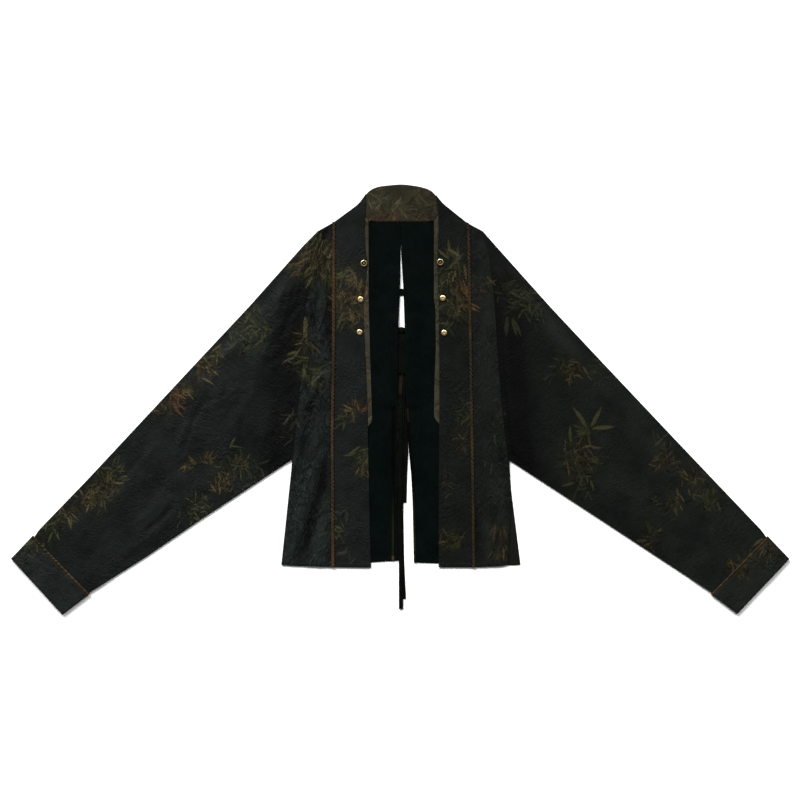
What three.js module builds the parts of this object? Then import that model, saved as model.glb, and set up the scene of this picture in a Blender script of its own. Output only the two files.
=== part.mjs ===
// An open jacket with a standing collar and wide sleeves, laid flat and face up.
// Millimetres, +Z up. The cloth rests on z = 0, with its collar toward +Y.
// Tables give x as the distance out from the middle line; sign puts it left or right.
import * as THREE from "three";

// Driving dimensions.
const wall = 1.2; // one piece of cloth with its lining pressed to it
const gap = 0.3; // between neighbouring pieces
const layer = wall + gap; // from one piece of cloth to the one that lies on it
const strapWall = 1.0; // ties
const strapWidth = 7.8;
const pipingWidth = 5.0;
const pipingHeight = 1.8;
const facingMargin = 12; // what a facing strip has under its band
const facingWall = 1.0; // narrow facings beside the back opening
const sleeveHollow = 0.6; // between the two layers of a sleeve, where it is flattest
const cuffLift = 1.5; // a sleeve's end stands this high, inside its cuff
const slitLift = 3.9; // the back opening's edges stand over the bow
const slitRest = 2.0; // and over a single tie
const slitFlat = 8; // width that stays up
const slitFade = 32; // width over which it comes down

// Rows across and along each kind of piece.
const across = 6;
const backAcross = 9;
const sideRows = 6;
const armRows = 13;
const sleeveAlong = 14;
const roundSteps = 12;

// The edges of each half, which differ a little. fold is where the front rolls over the
// sleeve, and arm is the seam below that roll. sleeveOver and sleeveUnder are a sleeve's
// upper and under edge, from the body to its end inside the cuff.
const left = {
  sign: -1,
  backSide: [
    { x: 220.0, y: -306.5 },
    { x: 199.5, y: -111.6 },
  ],
  frontSide: [
    { x: 220.0, y: -306.5 },
    { x: 199.5, y: -111.6 },
  ],
  fold: [
    { x: 199.5, y: -111.6 },
    { x: 196.6, y: -88.0 },
    { x: 190.2, y: -29.3 },
    { x: 183.2, y: 52.1 },
    { x: 178.5, y: 127.9 },
    { x: 173.0, y: 201.9 },
    { x: 164.7, y: 266.7 },
    { x: 153.5, y: 309.8 },
  ],
  arm: [
    { x: 199.5, y: -111.6 },
    { x: 192.6, y: -88.0 },
    { x: 185.2, y: -29.3 },
    { x: 178.2, y: 52.1 },
    { x: 173.5, y: 127.9 },
    { x: 168.0, y: 201.9 },
    { x: 161.2, y: 266.7 },
    { x: 153.5, y: 309.8 },
  ],
  piping: [
    { x: 124.3, y: -310.8 },
    { x: 124.9, y: -203.0 },
    { x: 125.6, y: -50.0 },
    { x: 123.4, y: 72.0 },
    { x: 122.7, y: 327.5 },
  ],
  bandEdge: [
    { x: 53.7, y: -311.8 },
    { x: 59.6, y: -57.0 },
    { x: 60.3, y: -20.0 },
    { x: 63.8, y: 72.0 },
    { x: 67.0, y: 130.0 },
    { x: 68.6, y: 186.0 },
    { x: 63.5, y: 225.0 },
    { x: 60.5, y: 251.0 },
    { x: 64.5, y: 280.0 },
    { x: 66.2, y: 311.0 },
    { x: 63.3, y: 358.0 },
    { x: 63.3, y: 380.1 },
  ],
  sideNeck: { x: 76.0, y: 361.6 },
  neck: [
    { x: 0.0, y: 327.7 },
    { x: 30.0, y: 327.7 },
    { x: 56.8, y: 328.2 },
    { x: 64.5, y: 337.0 },
    { x: 70.5, y: 348.0 },
    { x: 74.5, y: 358.6 },
  ],
  slit: [
    { x: 4.0, y: -298.9 },
    { x: 5.0, y: -173.0 },
    { x: 4.6, y: -50.0 },
    { x: 3.3, y: 46.0 },
    { x: 3.0, y: 133.0 },
    { x: 0.4, y: 191.0 },
    { x: 0.1, y: 206.0 },
    { x: -0.9, y: 257.0 },
    { x: -0.6, y: 290.0 },
    { x: 0.0, y: 327.7 },
  ],
  backHem: [
    { x: 220.0, y: -306.5 },
    { x: 55.9, y: -302.2 },
    { x: 4.0, y: -298.9 },
  ],
  frontHem: [
    { x: 220.0, y: -306.5 },
    { x: 198.0, y: -308.5 },
    { x: 124.3, y: -310.8 },
  ],
  facingEdge: [
    { x: 59.8, y: -51.9 },
    { x: 51.2, y: -42.0 },
    { x: 54.9, y: 72.0 },
    { x: 57.9, y: 183.0 },
    { x: 57.9, y: 322.0 },
    { x: 57.9, y: 329.5 },
  ],
  sleeveOver: [
    { x: 153.5, y: 309.8 },
    { x: 180.0, y: 283.1 },
    { x: 278.0, y: 172.9 },
    { x: 370.0, y: 74.8 },
    { x: 579.0, y: -149.3 },
    { x: 672.0, y: -245.9 },
    { x: 675.0, y: -254.2 },
    { x: 686.5, y: -265.0 },
  ],
  sleeveUnder: [
    { x: 199.5, y: -111.6 },
    { x: 370.0, y: -223.9 },
    { x: 470.0, y: -292.0 },
    { x: 575.2, y: -358.4 },
    { x: 588.6, y: -366.4 },
  ],
  cuff: {
    innerOver: { x: 682.0, y: -255.2 },
    outerOver: { x: 719.3, y: -294.4 },
    outerUnder: { x: 624.0, y: -398.4 },
    innerUnder: { x: 577.6, y: -363.0 },
  },
  slitFacing: { inside: 6.5, wide: 5.0, top: -8 },
  snaps: [
    { x: 67.2, y: 251.0, socket: true },
    { x: 73.3, y: 184.2, socket: false },
    { x: 75.1, y: 123.5, socket: false },
  ],
};

const right = {
  sign: 1,
  backSide: [
    { x: 222.6, y: -306.5 },
    { x: 205.5, y: -170.0 },
    { x: 201.7, y: -113.1 },
  ],
  frontSide: [
    { x: 199.4, y: -306.5 },
    { x: 205.5, y: -203.2 },
    { x: 201.7, y: -113.1 },
  ],
  fold: [
    { x: 201.7, y: -113.1 },
    { x: 197.2, y: -88.0 },
    { x: 190.2, y: -29.3 },
    { x: 183.2, y: 52.1 },
    { x: 178.5, y: 127.9 },
    { x: 173.0, y: 201.9 },
    { x: 164.7, y: 266.7 },
    { x: 153.5, y: 309.8 },
  ],
  arm: [
    { x: 201.7, y: -113.1 },
    { x: 193.2, y: -88.0 },
    { x: 185.2, y: -29.3 },
    { x: 178.2, y: 52.1 },
    { x: 173.5, y: 127.9 },
    { x: 168.0, y: 201.9 },
    { x: 161.2, y: 266.7 },
    { x: 153.5, y: 309.8 },
  ],
  piping: [
    { x: 136.0, y: -311.2 },
    { x: 133.6, y: -112.0 },
    { x: 130.4, y: 72.0 },
    { x: 126.2, y: 317.0 },
    { x: 123.6, y: 326.4 },
  ],
  bandEdge: [
    { x: 70.7, y: -311.1 },
    { x: 71.6, y: -48.0 },
    { x: 72.2, y: -35.0 },
    { x: 72.3, y: 72.0 },
    { x: 70.7, y: 183.0 },
    { x: 68.3, y: 250.0 },
    { x: 70.7, y: 311.0 },
    { x: 69.6, y: 358.0 },
    { x: 65.5, y: 378.6 },
  ],
  sideNeck: { x: 78.3, y: 362.3 },
  neck: [
    { x: 0.0, y: 327.7 },
    { x: 30.0, y: 327.7 },
    { x: 60.7, y: 328.2 },
    { x: 67.5, y: 337.0 },
    { x: 73.0, y: 348.0 },
    { x: 76.8, y: 358.6 },
  ],
  slit: [
    { x: 25.2, y: -302.6 },
    { x: 22.7, y: -191.0 },
    { x: 20.2, y: -142.0 },
    { x: 16.0, y: -100.0 },
    { x: 9.8, y: 1.0 },
    { x: 8.9, y: 46.0 },
    { x: 8.0, y: 133.0 },
    { x: 5.6, y: 206.0 },
    { x: 2.0, y: 257.0 },
    { x: 0.9, y: 290.0 },
    { x: 0.0, y: 327.7 },
  ],
  backHem: [
    { x: 222.6, y: -306.5 },
    { x: 204.0, y: -307.7 },
    { x: 69.9, y: -303.9 },
    { x: 25.2, y: -302.6 },
  ],
  frontHem: [
    { x: 199.4, y: -306.5 },
    { x: 188.0, y: -309.2 },
    { x: 136.0, y: -311.2 },
  ],
  facingEdge: [
    { x: 71.6, y: -46.5 },
    { x: 62.4, y: -34.9 },
    { x: 62.9, y: 35.0 },
    { x: 65.5, y: 91.0 },
    { x: 64.8, y: 165.0 },
    { x: 62.0, y: 183.0 },
    { x: 62.0, y: 276.0 },
    { x: 62.0, y: 329.9 },
  ],
  sleeveOver: [
    { x: 153.5, y: 309.8 },
    { x: 180.0, y: 279.8 },
    { x: 278.0, y: 170.2 },
    { x: 370.0, y: 72.1 },
    { x: 500.0, y: -65.6 },
    { x: 672.0, y: -246.6 },
    { x: 675.0, y: -254.2 },
    { x: 686.5, y: -265.0 },
  ],
  sleeveUnder: [
    { x: 201.7, y: -113.1 },
    { x: 370.0, y: -222.8 },
    { x: 575.2, y: -357.6 },
    { x: 588.6, y: -366.0 },
  ],
  cuff: {
    innerOver: { x: 682.2, y: -256.2 },
    outerOver: { x: 719.3, y: -294.9 },
    outerUnder: { x: 622.8, y: -396.8 },
    innerUnder: { x: 577.6, y: -362.8 },
  },
  slitFacing: { inside: 0.5, wide: 5.0, top: -8 },
  snaps: [
    { x: 74.0, y: 253.0, socket: true },
    { x: 78.6, y: 186.6, socket: false },
    { x: 81.0, y: 122.6, socket: false },
  ],
};

// Free edge of the collar, from the left side of the neck to the right.
const collarTop = [
  { x: -67.2, y: 373.5 },
  { x: -62.5, y: 380.2 },
  { x: -54.8, y: 387.9 },
  { x: -40.5, y: 393.4 },
  { x: -20.7, y: 395.6 },
  { x: 1.9, y: 397.5 },
  { x: 23.1, y: 395.2 },
  { x: 38.7, y: 392.5 },
  { x: 51.4, y: 388.6 },
  { x: 59.2, y: 385.1 },
  { x: 64.6, y: 378.2 },
  { x: 69.4, y: 371.0 },
];

// Largest folds: each row is a soft ridge between two points, high and wide as given.
const sleeveFoldsLeft = [
  { x1: 200, y1: 262, x2: 246, y2: 96, high: 2.3, wide: 20 },
  { x1: 232, y1: 132, x2: 372, y2: -52, high: 2.3, wide: 24 },
  { x1: 268, y1: 150, x2: 420, y2: -14, high: 1.1, wide: 20 },
  { x1: 352, y1: -36, x2: 622, y2: -262, high: 1.6, wide: 22 },
  { x1: 300, y1: -104, x2: 560, y2: -312, high: 1.5, wide: 22 },
];
const sleeveFoldsRight = [
  { x1: 205, y1: 205, x2: 430, y2: -44, high: 2.1, wide: 26 },
  { x1: 330, y1: 30, x2: 650, y2: -262, high: 1.5, wide: 30 },
  { x1: 250, y1: -60, x2: 490, y2: -236, high: 1.5, wide: 30 },
];
const frontFoldsLeft = [
  { x1: 186, y1: -120, x2: 214, y2: -330, high: 1.4, wide: 16 },
  { x1: 142, y1: -150, x2: 148, y2: -360, high: 0.8, wide: 14 },
  { x1: 148, y1: 290, x2: 158, y2: 20, high: 1.1, wide: 14 },
];
const frontFoldsRight = [
  { x1: 160, y1: 260, x2: 168, y2: -60, high: 0.6, wide: 16 },
  { x1: 182, y1: -120, x2: 190, y2: -340, high: 0.8, wide: 16 },
];

// Sections of the snaps, from the base up: a row is a radius and a height.
const capSection = [
  { radius: 5.0, z: 0 },
  { radius: 5.5, z: 0.5 },
  { radius: 5.2, z: 1.4 },
  { radius: 4.0, z: 2.0 },
  { radius: 1.8, z: 2.2 },
  { radius: 1.0, z: 1.9 },
];
const socketSection = [
  { radius: 5.7, z: 0 },
  { radius: 6.25, z: 0.6 },
  { radius: 6.0, z: 1.6 },
  { radius: 4.9, z: 2.1 },
  { radius: 3.6, z: 1.7 },
  { radius: 3.1, z: 0.7 },
];

// Middle lines of the ties. Where they cross, one lies on the other.
const upperTail = [
  { x: 17.0, y: 190.5, z: 0 },
  { x: 17.0, y: 144.0, z: 0 },
  { x: 17.0, y: 136.0, z: 1.3 },
  { x: 17.0, y: 116.0, z: 1.3 },
  { x: 17.0, y: 108.0, z: 0 },
  { x: 16.0, y: 34.0, z: 0 },
  { x: 9.6, y: 4.0, z: 0 },
  { x: 11.0, y: -100.0, z: 0 },
  { x: 9.0, y: -145.0, z: 0 },
  { x: 7.9, y: -191.4, z: 0 },
];
const tailRight = [
  { x: 7.5, y: 116.0, z: 0 },
  { x: 7.5, y: 43.0, z: 0 },
  { x: 7.5, y: 35.0, z: 1.3 },
  { x: 7.5, y: 14.0, z: 1.3 },
  { x: 3.9, y: -10.0, z: 1.3 },
  { x: 1.9, y: -196.0, z: 1.3 },
  { x: 1.9, y: -212.0, z: 0 },
  { x: 3.5, y: -302.0, z: 0 },
  { x: 6.9, y: -369.4, z: 0 },
];
const tailLeft = [
  { x: -0.6, y: 116.0, z: 0 },
  { x: -0.6, y: 36.0, z: 0 },
  { x: -0.6, y: 18.0, z: 2.6 },
  { x: 0.2, y: 8.0, z: 2.6 },
  { x: 0.1, y: -20.0, z: 2.6 },
  { x: -0.3, y: -60.0, z: 2.6 },
  { x: -0.6, y: -196.0, z: 2.6 },
  { x: -0.4, y: -212.0, z: 1.3 },
  { x: 0.4, y: -290.0, z: 1.3 },
  { x: 1.3, y: -302.0, z: 1.3 },
  { x: 1.5, y: -387.9, z: 1.3 },
];

const cloth = { color: 0x25292a, roughness: 0.75, metalness: 0 };
const reverse = { color: 0x101617, roughness: 0.7, metalness: 0 };
const jacquard = { color: 0x4f4932, roughness: 0.7, metalness: 0 };
const brown = { color: 0x5a3c1e, roughness: 0.7, metalness: 0 };
const brass = { color: 0xd8b878, roughness: 0.3, metalness: 1 };

const jacket = new THREE.Group();
jacket.name = "jacket";

// Rises softly from 0 to 1 as t goes from 0 to 1.
function smooth(t) {
  const held = Math.min(Math.max(t, 0), 1);
  return held * held * (3 - 2 * held);
}

// Signed points of one half's table.
function placed(points, sign) {
  return points.map((p) => ({ x: sign * p.x, y: p.y }));
}

// Points along a table, with each of its rows kept and the longest stretches divided.
function steps(points, count) {
  const lengths = [];
  for (let i = 1; i < points.length; i += 1) {
    lengths.push(Math.hypot(points[i].x - points[i - 1].x, points[i].y - points[i - 1].y));
  }
  const parts = lengths.map(() => 1);
  for (let spare = count - lengths.length; spare > 0; spare -= 1) {
    let longest = 0;
    lengths.forEach((length, i) => {
      if (length / parts[i] > lengths[longest] / parts[longest]) longest = i;
    });
    parts[longest] += 1;
  }
  const line = [points[0]];
  parts.forEach((divisions, i) => {
    for (let k = 1; k <= divisions; k += 1) {
      const t = k / divisions;
      line.push({
        x: points[i].x + (points[i + 1].x - points[i].x) * t,
        y: points[i].y + (points[i + 1].y - points[i].y) * t,
      });
    }
  });
  return line;
}

// How far out a table's edge is at a height y. The table runs up in y.
function edgeAt(points, y) {
  let i = 1;
  while (i < points.length - 1 && points[i].y < y) i += 1;
  const from = points[i - 1];
  const to = points[i];
  const t = Math.min(Math.max((y - from.y) / (to.y - from.y), 0), 1);
  return from.x + (to.x - from.x) * t;
}

// Rows of points between four edges that meet at their corners.
function patch(bottom, top, outer, inner) {
  const columns = bottom.length - 1;
  const rows = outer.length - 1;
  const grid = [];
  for (let j = 0; j <= rows; j += 1) {
    const v = j / rows;
    const row = [];
    for (let i = 0; i <= columns; i += 1) {
      const u = i / columns;
      const point = {};
      for (const axis of ["x", "y"]) {
        const ruled = (1 - v) * bottom[i][axis] + v * top[i][axis];
        const sides = (1 - u) * outer[j][axis] + u * inner[j][axis];
        const low = (1 - u) * bottom[0][axis] + u * bottom[columns][axis];
        const high = (1 - u) * top[0][axis] + u * top[columns][axis];
        point[axis] = ruled + sides - (1 - v) * low - v * high;
      }
      row.push(point);
    }
    grid.push(row);
  }
  return grid;
}

// The same rows with their rim moved in by half of the gap between pieces.
function trimmed(grid, amount) {
  const moved = grid.map((row) => row.map((p) => ({ ...p })));
  const rows = grid.length - 1;
  const columns = grid[0].length - 1;
  const pull = (j, i, toJ, toI) => {
    const dx = grid[toJ][toI].x - grid[j][i].x;
    const dy = grid[toJ][toI].y - grid[j][i].y;
    const length = Math.hypot(dx, dy);
    moved[j][i].x += (dx / length) * amount;
    moved[j][i].y += (dy / length) * amount;
  };
  for (let i = 0; i <= columns; i += 1) {
    pull(0, i, 1, i);
    pull(rows, i, rows - 1, i);
  }
  for (let j = 0; j <= rows; j += 1) {
    pull(j, 0, j, 1);
    pull(j, columns, j, columns - 1);
  }
  return moved;
}

// A geometry from points and faces, with its faces turned outward.
function closed(points, faces) {
  let volume = 0;
  const normal = new THREE.Vector3();
  for (const [a, b, c] of faces) {
    normal.crossVectors(points[b], points[c]);
    volume += points[a].dot(normal);
  }
  const order = volume < 0 ? faces.map(([a, b, c]) => [a, c, b]) : faces;
  const geometry = new THREE.BufferGeometry().setFromPoints(points);
  geometry.setIndex(order.flat());
  geometry.computeVertexNormals();
  return geometry;
}

function two(faces, a, b, c, d) {
  faces.push([a, b, c], [a, c, d]);
}

// Flat cloth: the rows of a grid at their height, with a wall above them.
function sheet(grid, height, thick = wall) {
  const rows = grid.length;
  const columns = grid[0].length;
  const points = [];
  for (const above of [0, thick]) {
    for (const row of grid) {
      for (const { x, y, z } of row) {
        points.push(new THREE.Vector3(x, y, height(x, y, z) + above));
      }
    }
  }
  const over = rows * columns;
  const at = (j, i) => j * columns + i;
  const faces = [];
  for (let j = 0; j < rows - 1; j += 1) {
    for (let i = 0; i < columns - 1; i += 1) {
      two(faces, at(j, i), at(j + 1, i), at(j + 1, i + 1), at(j, i + 1));
      two(
        faces,
        over + at(j, i),
        over + at(j, i + 1),
        over + at(j + 1, i + 1),
        over + at(j + 1, i),
      );
    }
  }
  const rim = [];
  for (let i = 0; i < columns - 1; i += 1) rim.push(at(0, i));
  for (let j = 0; j < rows - 1; j += 1) rim.push(at(j, columns - 1));
  for (let i = columns - 1; i > 0; i -= 1) rim.push(at(rows - 1, i));
  for (let j = rows - 1; j > 0; j -= 1) rim.push(at(j, 0));
  rim.forEach((a, k) => {
    const b = rim[(k + 1) % rim.length];
    two(faces, a, b, over + b, over + a);
  });
  return closed(points, faces);
}

// A solid through a row of closed rings, with both ends covered.
function loft(rings) {
  const count = rings[0].length;
  const points = rings.flat();
  const faces = [];
  for (let j = 0; j < rings.length - 1; j += 1) {
    for (let i = 0; i < count; i += 1) {
      const next = (i + 1) % count;
      const low = j * count;
      const high = low + count;
      two(faces, low + i, low + next, high + next, high + i);
    }
  }
  for (const [start, turn] of [
    [0, false],
    [(rings.length - 1) * count, true],
  ]) {
    const centre = new THREE.Vector3();
    for (let i = 0; i < count; i += 1) centre.add(points[start + i]);
    points.push(centre.divideScalar(count));
    const middle = points.length - 1;
    for (let i = 0; i < count; i += 1) {
      const a = start + i;
      const b = start + ((i + 1) % count);
      faces.push(turn ? [middle, a, b] : [middle, b, a]);
    }
  }
  return closed(points, faces);
}

// A tube with a wall, through outer rings and the inner rings that match them.
function hollow(outer, inner) {
  const count = outer[0].length;
  const rows = outer.length;
  const points = [...outer.flat(), ...inner.flat()];
  const inside = rows * count;
  const faces = [];
  for (let j = 0; j < rows - 1; j += 1) {
    for (let i = 0; i < count; i += 1) {
      const next = (i + 1) % count;
      const low = j * count;
      const high = low + count;
      two(faces, low + i, low + next, high + next, high + i);
      two(
        faces,
        inside + low + i,
        inside + high + i,
        inside + high + next,
        inside + low + next,
      );
    }
  }
  for (let i = 0; i < count; i += 1) {
    const next = (i + 1) % count;
    const end = (rows - 1) * count;
    two(faces, i, inside + i, inside + next, next);
    two(faces, end + i, end + next, inside + end + next, inside + end + i);
  }
  return closed(points, faces);
}

function add(name, geometry, finish) {
  const mesh = new THREE.Mesh(geometry, new THREE.MeshStandardMaterial(finish));
  mesh.name = name;
  jacket.add(mesh);
}

// Height of the folds in a table at a point, with x counted outward.
function foldRise(rows, x, y) {
  let rise = 0;
  for (const { x1, y1, x2, y2, high, wide } of rows) {
    const length = Math.hypot(x2 - x1, y2 - y1);
    const along = ((x - x1) * (x2 - x1) + (y - y1) * (y2 - y1)) / length;
    const aside = ((x - x1) * (y2 - y1) - (y - y1) * (x2 - x1)) / length;
    const fade = 0.3 * length;
    const ends = smooth(along / fade) * smooth((length - along) / fade);
    rise += high * ends * Math.exp(-((aside / wide) ** 2));
  }
  return rise;
}

// Underside of a back panel: flat, but for the edge of the opening over the ties.
function backHeight(half, x, y) {
  const fromSlit = half.sign * x - edgeAt(half.slit, y);
  const overBow = smooth((y + 34) / 28) * smooth((168 - y) / 20);
  const overTie = smooth((y + 160) / 60) * smooth((255 - y) / 30);
  const lift = Math.max(slitLift * overBow, slitRest * overTie);
  return lift * (1 - smooth((fromSlit - slitFlat) / slitFade));
}

// Underside of a front panel: on the back, and over the sleeve at its roll.
function frontHeight(half, folds, x, y) {
  const out = half.sign * x;
  const fold = edgeAt(half.fold, y);
  const arm = edgeAt(half.arm, y);
  const beside = smooth((y + 150) / 38);
  const over = wall + sleeveHollow + wall + gap - layer;
  const rise = over * smooth((out - arm + 16) / 13) * beside;
  const roll = 1.7 * Math.exp(-(((fold - out - 10) / 8) ** 2)) * beside;
  const free = smooth((fold - out) / 6) * smooth((out - edgeAt(half.piping, y)) / 10);
  const soft = foldRise(folds, out, y) * free * (1 - smooth((out - arm + 30) / 16) * beside);
  return layer + rise + roll + soft;
}

// Underside of a band: over the facing strip and the collar, then down to the seam.
function bandHeight(half, x, y) {
  const inside = half.sign * x - edgeAt(half.bandEdge, y);
  const down = smooth((inside - facingMargin - 2) / 18);
  const beside = smooth((y + 92) / 26);
  return layer + layer * (1 - down) * beside;
}

// Top of a sleeve, and the height of its underside where it enters the cuff.
function sleeveTop(folds, along, width, x, y) {
  const flat = wall + sleeveHollow + wall;
  const free = smooth((width.from - 6) / 26) * smooth((width.to - 6) / 26);
  const near = smooth(along / 0.1) * smooth((0.93 - along) / 0.1);
  return flat + (0.6 + foldRise(folds, x, y)) * free * near;
}

function sleeveLift(along) {
  return cuffLift * smooth((along - 0.82) / 0.1);
}

// Rings of a flattened tube: the grid's rows run along it, from under edge to over edge.
function flatRings(grid, lowAt, highAt, thick) {
  const soft = 0.9;
  const outer = [];
  const inner = [];
  grid.forEach((row, j) => {
    const last = row.length - 1;
    const width = Math.hypot(row[last].x - row[0].x, row[last].y - row[0].y);
    const ring = (inset, depth) => {
      const keep = (inset + soft) / width;
      const point = (share, z) => {
        const t = Math.min(Math.max(share, 0), 1) * last;
        const k = Math.min(Math.floor(t), last - 1);
        const part = t - k;
        const x = row[k].x + (row[k + 1].x - row[k].x) * part;
        const y = row[k].y + (row[k + 1].y - row[k].y) * part;
        return new THREE.Vector3(x, y, z(x, y, share));
      };
      const low = (x, y, share) => lowAt(x, y, j, share, width) + depth;
      const high = (x, y, share) => highAt(x, y, j, share, width) - depth;
      const middle = (x, y, share) => (low(x, y, share) + high(x, y, share)) / 2;
      const points = [point(inset / width, middle)];
      for (let i = 0; i <= last; i += 1) {
        points.push(point(Math.min(Math.max(i / last, keep), 1 - keep), low));
      }
      points.push(point(1 - inset / width, middle));
      for (let i = last; i >= 0; i -= 1) {
        points.push(point(Math.min(Math.max(i / last, keep), 1 - keep), high));
      }
      return points;
    };
    outer.push(ring(0, 0));
    inner.push(ring(thick, thick));
  });
  return { outer, inner };
}

function transposed(grid) {
  return grid[0].map((_, i) => grid.map((row) => row[i]));
}

// A strap along a line, level across.
function strap(line, width, thick) {
  const half = width / 2;
  return loft(
    line.map(({ x, y, z }) => [
      new THREE.Vector3(x - half, y, z),
      new THREE.Vector3(x + half, y, z),
      new THREE.Vector3(x + half, y, z + thick),
      new THREE.Vector3(x - half, y, z + thick),
    ]),
  );
}

// A round solid that stands at a point: rows of radius and height.
function turned(section, x, y, z) {
  return loft(
    section.map((row) => {
      const ring = [];
      for (let k = 0; k < roundSteps; k += 1) {
        const angle = (2 * Math.PI * k) / roundSteps;
        ring.push(
          new THREE.Vector3(
            x + row.radius * Math.cos(angle),
            y + row.radius * Math.sin(angle),
            z + row.z,
          ),
        );
      }
      return ring;
    }),
  );
}

for (const [side, half] of Object.entries({ left, right })) {
  const { sign } = half;
  const armLine = steps(half.arm, armRows);
  const sideLine = steps(half.backSide, sideRows);
  const rows = sideRows + armRows;

  // Back panel, from its side seam to the opening in the middle.
  const shoulder = [half.fold.at(-1), half.piping.at(-1), half.sideNeck];
  const neckLine = steps(half.neck, 6);
  const backTop = [...steps(shoulder, backAcross - 6), ...[...neckLine].reverse()].slice(
    0,
    backAcross + 2,
  );
  const backBottom = steps(half.backHem, backTop.length - 1);
  const backOuter = [...sideLine, ...armLine.slice(1)];
  const backInner = steps(half.slit, rows);
  const backGrid = trimmed(
    patch(
      placed(backBottom, sign),
      placed(backTop, sign),
      placed(backOuter, sign),
      placed(backInner, sign),
    ),
    gap / 2,
  );
  const backUnder = (x, y) => backHeight(half, x, y);
  add("back_" + side, sheet(backGrid, backUnder), reverse);

  // Front side panel, from the side seam and the roll over the sleeve to the piping.
  const frontFolds = side === "left" ? frontFoldsLeft : frontFoldsRight;
  const pipingLine = steps(half.piping, rows);
  const frontOuter = [...steps(half.frontSide, sideRows), ...steps(half.fold, armRows).slice(1)];
  const frontGrid = trimmed(
    patch(
      placed(steps(half.frontHem, across), sign),
      placed(steps([half.fold.at(-1), half.piping.at(-1)], across), sign),
      placed(frontOuter, sign),
      placed(pipingLine, sign),
    ),
    gap / 2,
  );
  const frontUnder = (x, y) => frontHeight(half, frontFolds, x, y);
  add("front_" + side, sheet(frontGrid, frontUnder), cloth);

  // Band, from the piping to its free edge and up round the neck.
  const bandTop = [half.piping.at(-1), half.sideNeck, half.bandEdge.at(-1)];
  const bandGrid = trimmed(
    patch(
      placed(steps([half.piping[0], half.bandEdge[0]], across), sign),
      placed(steps(bandTop, across), sign),
      placed(pipingLine, sign),
      placed(steps(half.bandEdge, rows), sign),
    ),
    gap / 2,
  );
  add("band_" + side, sheet(bandGrid, (x, y) => bandHeight(half, x, y)), cloth);

  // Facing strip, from under the band to its own edge.
  const facingInner = steps(half.facingEdge, rows);
  const facingOuter = facingInner.map(({ y }, k) => {
    const low = half.facingEdge[0].y;
    const high = edgeAt(half.bandEdge, y) + facingMargin;
    const top = k === rows ? 4.5 : 0;
    return { x: high - top, y: Math.max(y, low) + (k === rows ? 10 : 0) };
  });
  const facingGrid = trimmed(
    patch(
      placed(steps([facingOuter[0], facingInner[0]], 2), sign),
      placed(steps([facingOuter.at(-1), facingInner.at(-1)], 2), sign),
      placed(facingOuter, sign),
      placed(facingInner, sign),
    ),
    gap,
  );
  add("facing_" + side, sheet(facingGrid, () => layer), jacquard);

  // Sleeve, a tube from the armhole seam to its end inside the cuff.
  const folds = side === "left" ? sleeveFoldsLeft : sleeveFoldsRight;
  const sleeveGrid = transposed(
    trimmed(
      patch(
        placed(steps(half.sleeveUnder, sleeveAlong), sign),
        placed(steps(half.sleeveOver, sleeveAlong), sign),
        placed(armLine, sign),
        placed(steps([half.sleeveUnder.at(-1), half.sleeveOver.at(-1)], armRows), sign),
      ),
      gap / 2,
    ),
  );
  const sleeve = flatRings(
    sleeveGrid,
    (x, y, j) => sleeveLift(j / sleeveAlong),
    (x, y, j, share, width) => {
      const along = j / sleeveAlong;
      const reach = { from: share * width, to: (1 - share) * width };
      return sleeveLift(along) + sleeveTop(folds, along, reach, sign * x, y);
    },
    wall,
  );
  add("sleeve_" + side, hollow(sleeve.outer, sleeve.inner), cloth);

  // Cuff over the sleeve's end, and the piping in front of its upper edge.
  const { innerOver, outerOver, outerUnder, innerUnder } = half.cuff;
  const between = (a, b, t) => ({ x: a.x + (b.x - a.x) * t, y: a.y + (b.y - a.y) * t });
  const cuffRow = (t) => {
    const under = between(innerUnder, outerUnder, t);
    const over = between(innerOver, outerOver, t);
    return placed(steps([under, over], armRows), sign);
  };
  const cuffHigh = cuffLift + wall + sleeveHollow + wall + gap + wall;
  const cuff = flatRings(
    [0, 0.12, 0.5, 0.9, 1].map(cuffRow),
    () => 0,
    (x, y, j) => cuffHigh - (j === 0 || j === 4 ? 0.3 : 0),
    wall,
  );
  add("cuff_" + side, hollow(cuff.outer, cuff.inner), cloth);
  const cord = flatRings(
    [-0.08, -0.043, -0.006].map(cuffRow),
    () => 0,
    (x, y, j) => cuffHigh + (j === 1 ? 0.5 : -0.2),
    wall,
  );
  add("piping_cuff_" + side, hollow(cord.outer, cord.inner), brown);

  // Piping over the seam between the band and the front panel.
  const pipingRings = pipingLine.map(({ x, y }) => {
    const ring = [];
    for (let k = 0; k < 8; k += 1) {
      const angle = (2 * Math.PI * (k + 0.5)) / 8;
      const aside = (pipingWidth / 2) * Math.cos(angle);
      const rise = (pipingHeight / 2) * (1 + Math.sin(angle));
      ring.push(new THREE.Vector3(sign * x + aside, y, layer + layer + rise));
    }
    return ring;
  });
  add("piping_front_" + side, loft(pipingRings), brown);

  // Narrow facing beside the back opening, made from the panel's last two columns.
  const { inside, wide, top } = half.slitFacing;
  const facingRows = backGrid
    .filter((row) => row.at(-1).y < top)
    .map((row) => {
      const edge = row.at(-1);
      const next = row.at(-2);
      const edgeHigh = backUnder(edge.x, edge.y);
      const nextHigh = backUnder(next.x, next.y);
      return [inside + wide, inside].map((reach) => {
        const part = reach / Math.abs(next.x - edge.x);
        return {
          x: edge.x + (next.x - edge.x) * part,
          y: edge.y + (next.y - edge.y) * part,
          z: edgeHigh + (nextHigh - edgeHigh) * part + layer,
        };
      });
    });
  const onBack = (x, y, z) => z;
  add("slit_facing_" + side, sheet(facingRows, onBack, facingWall), brown);

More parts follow.
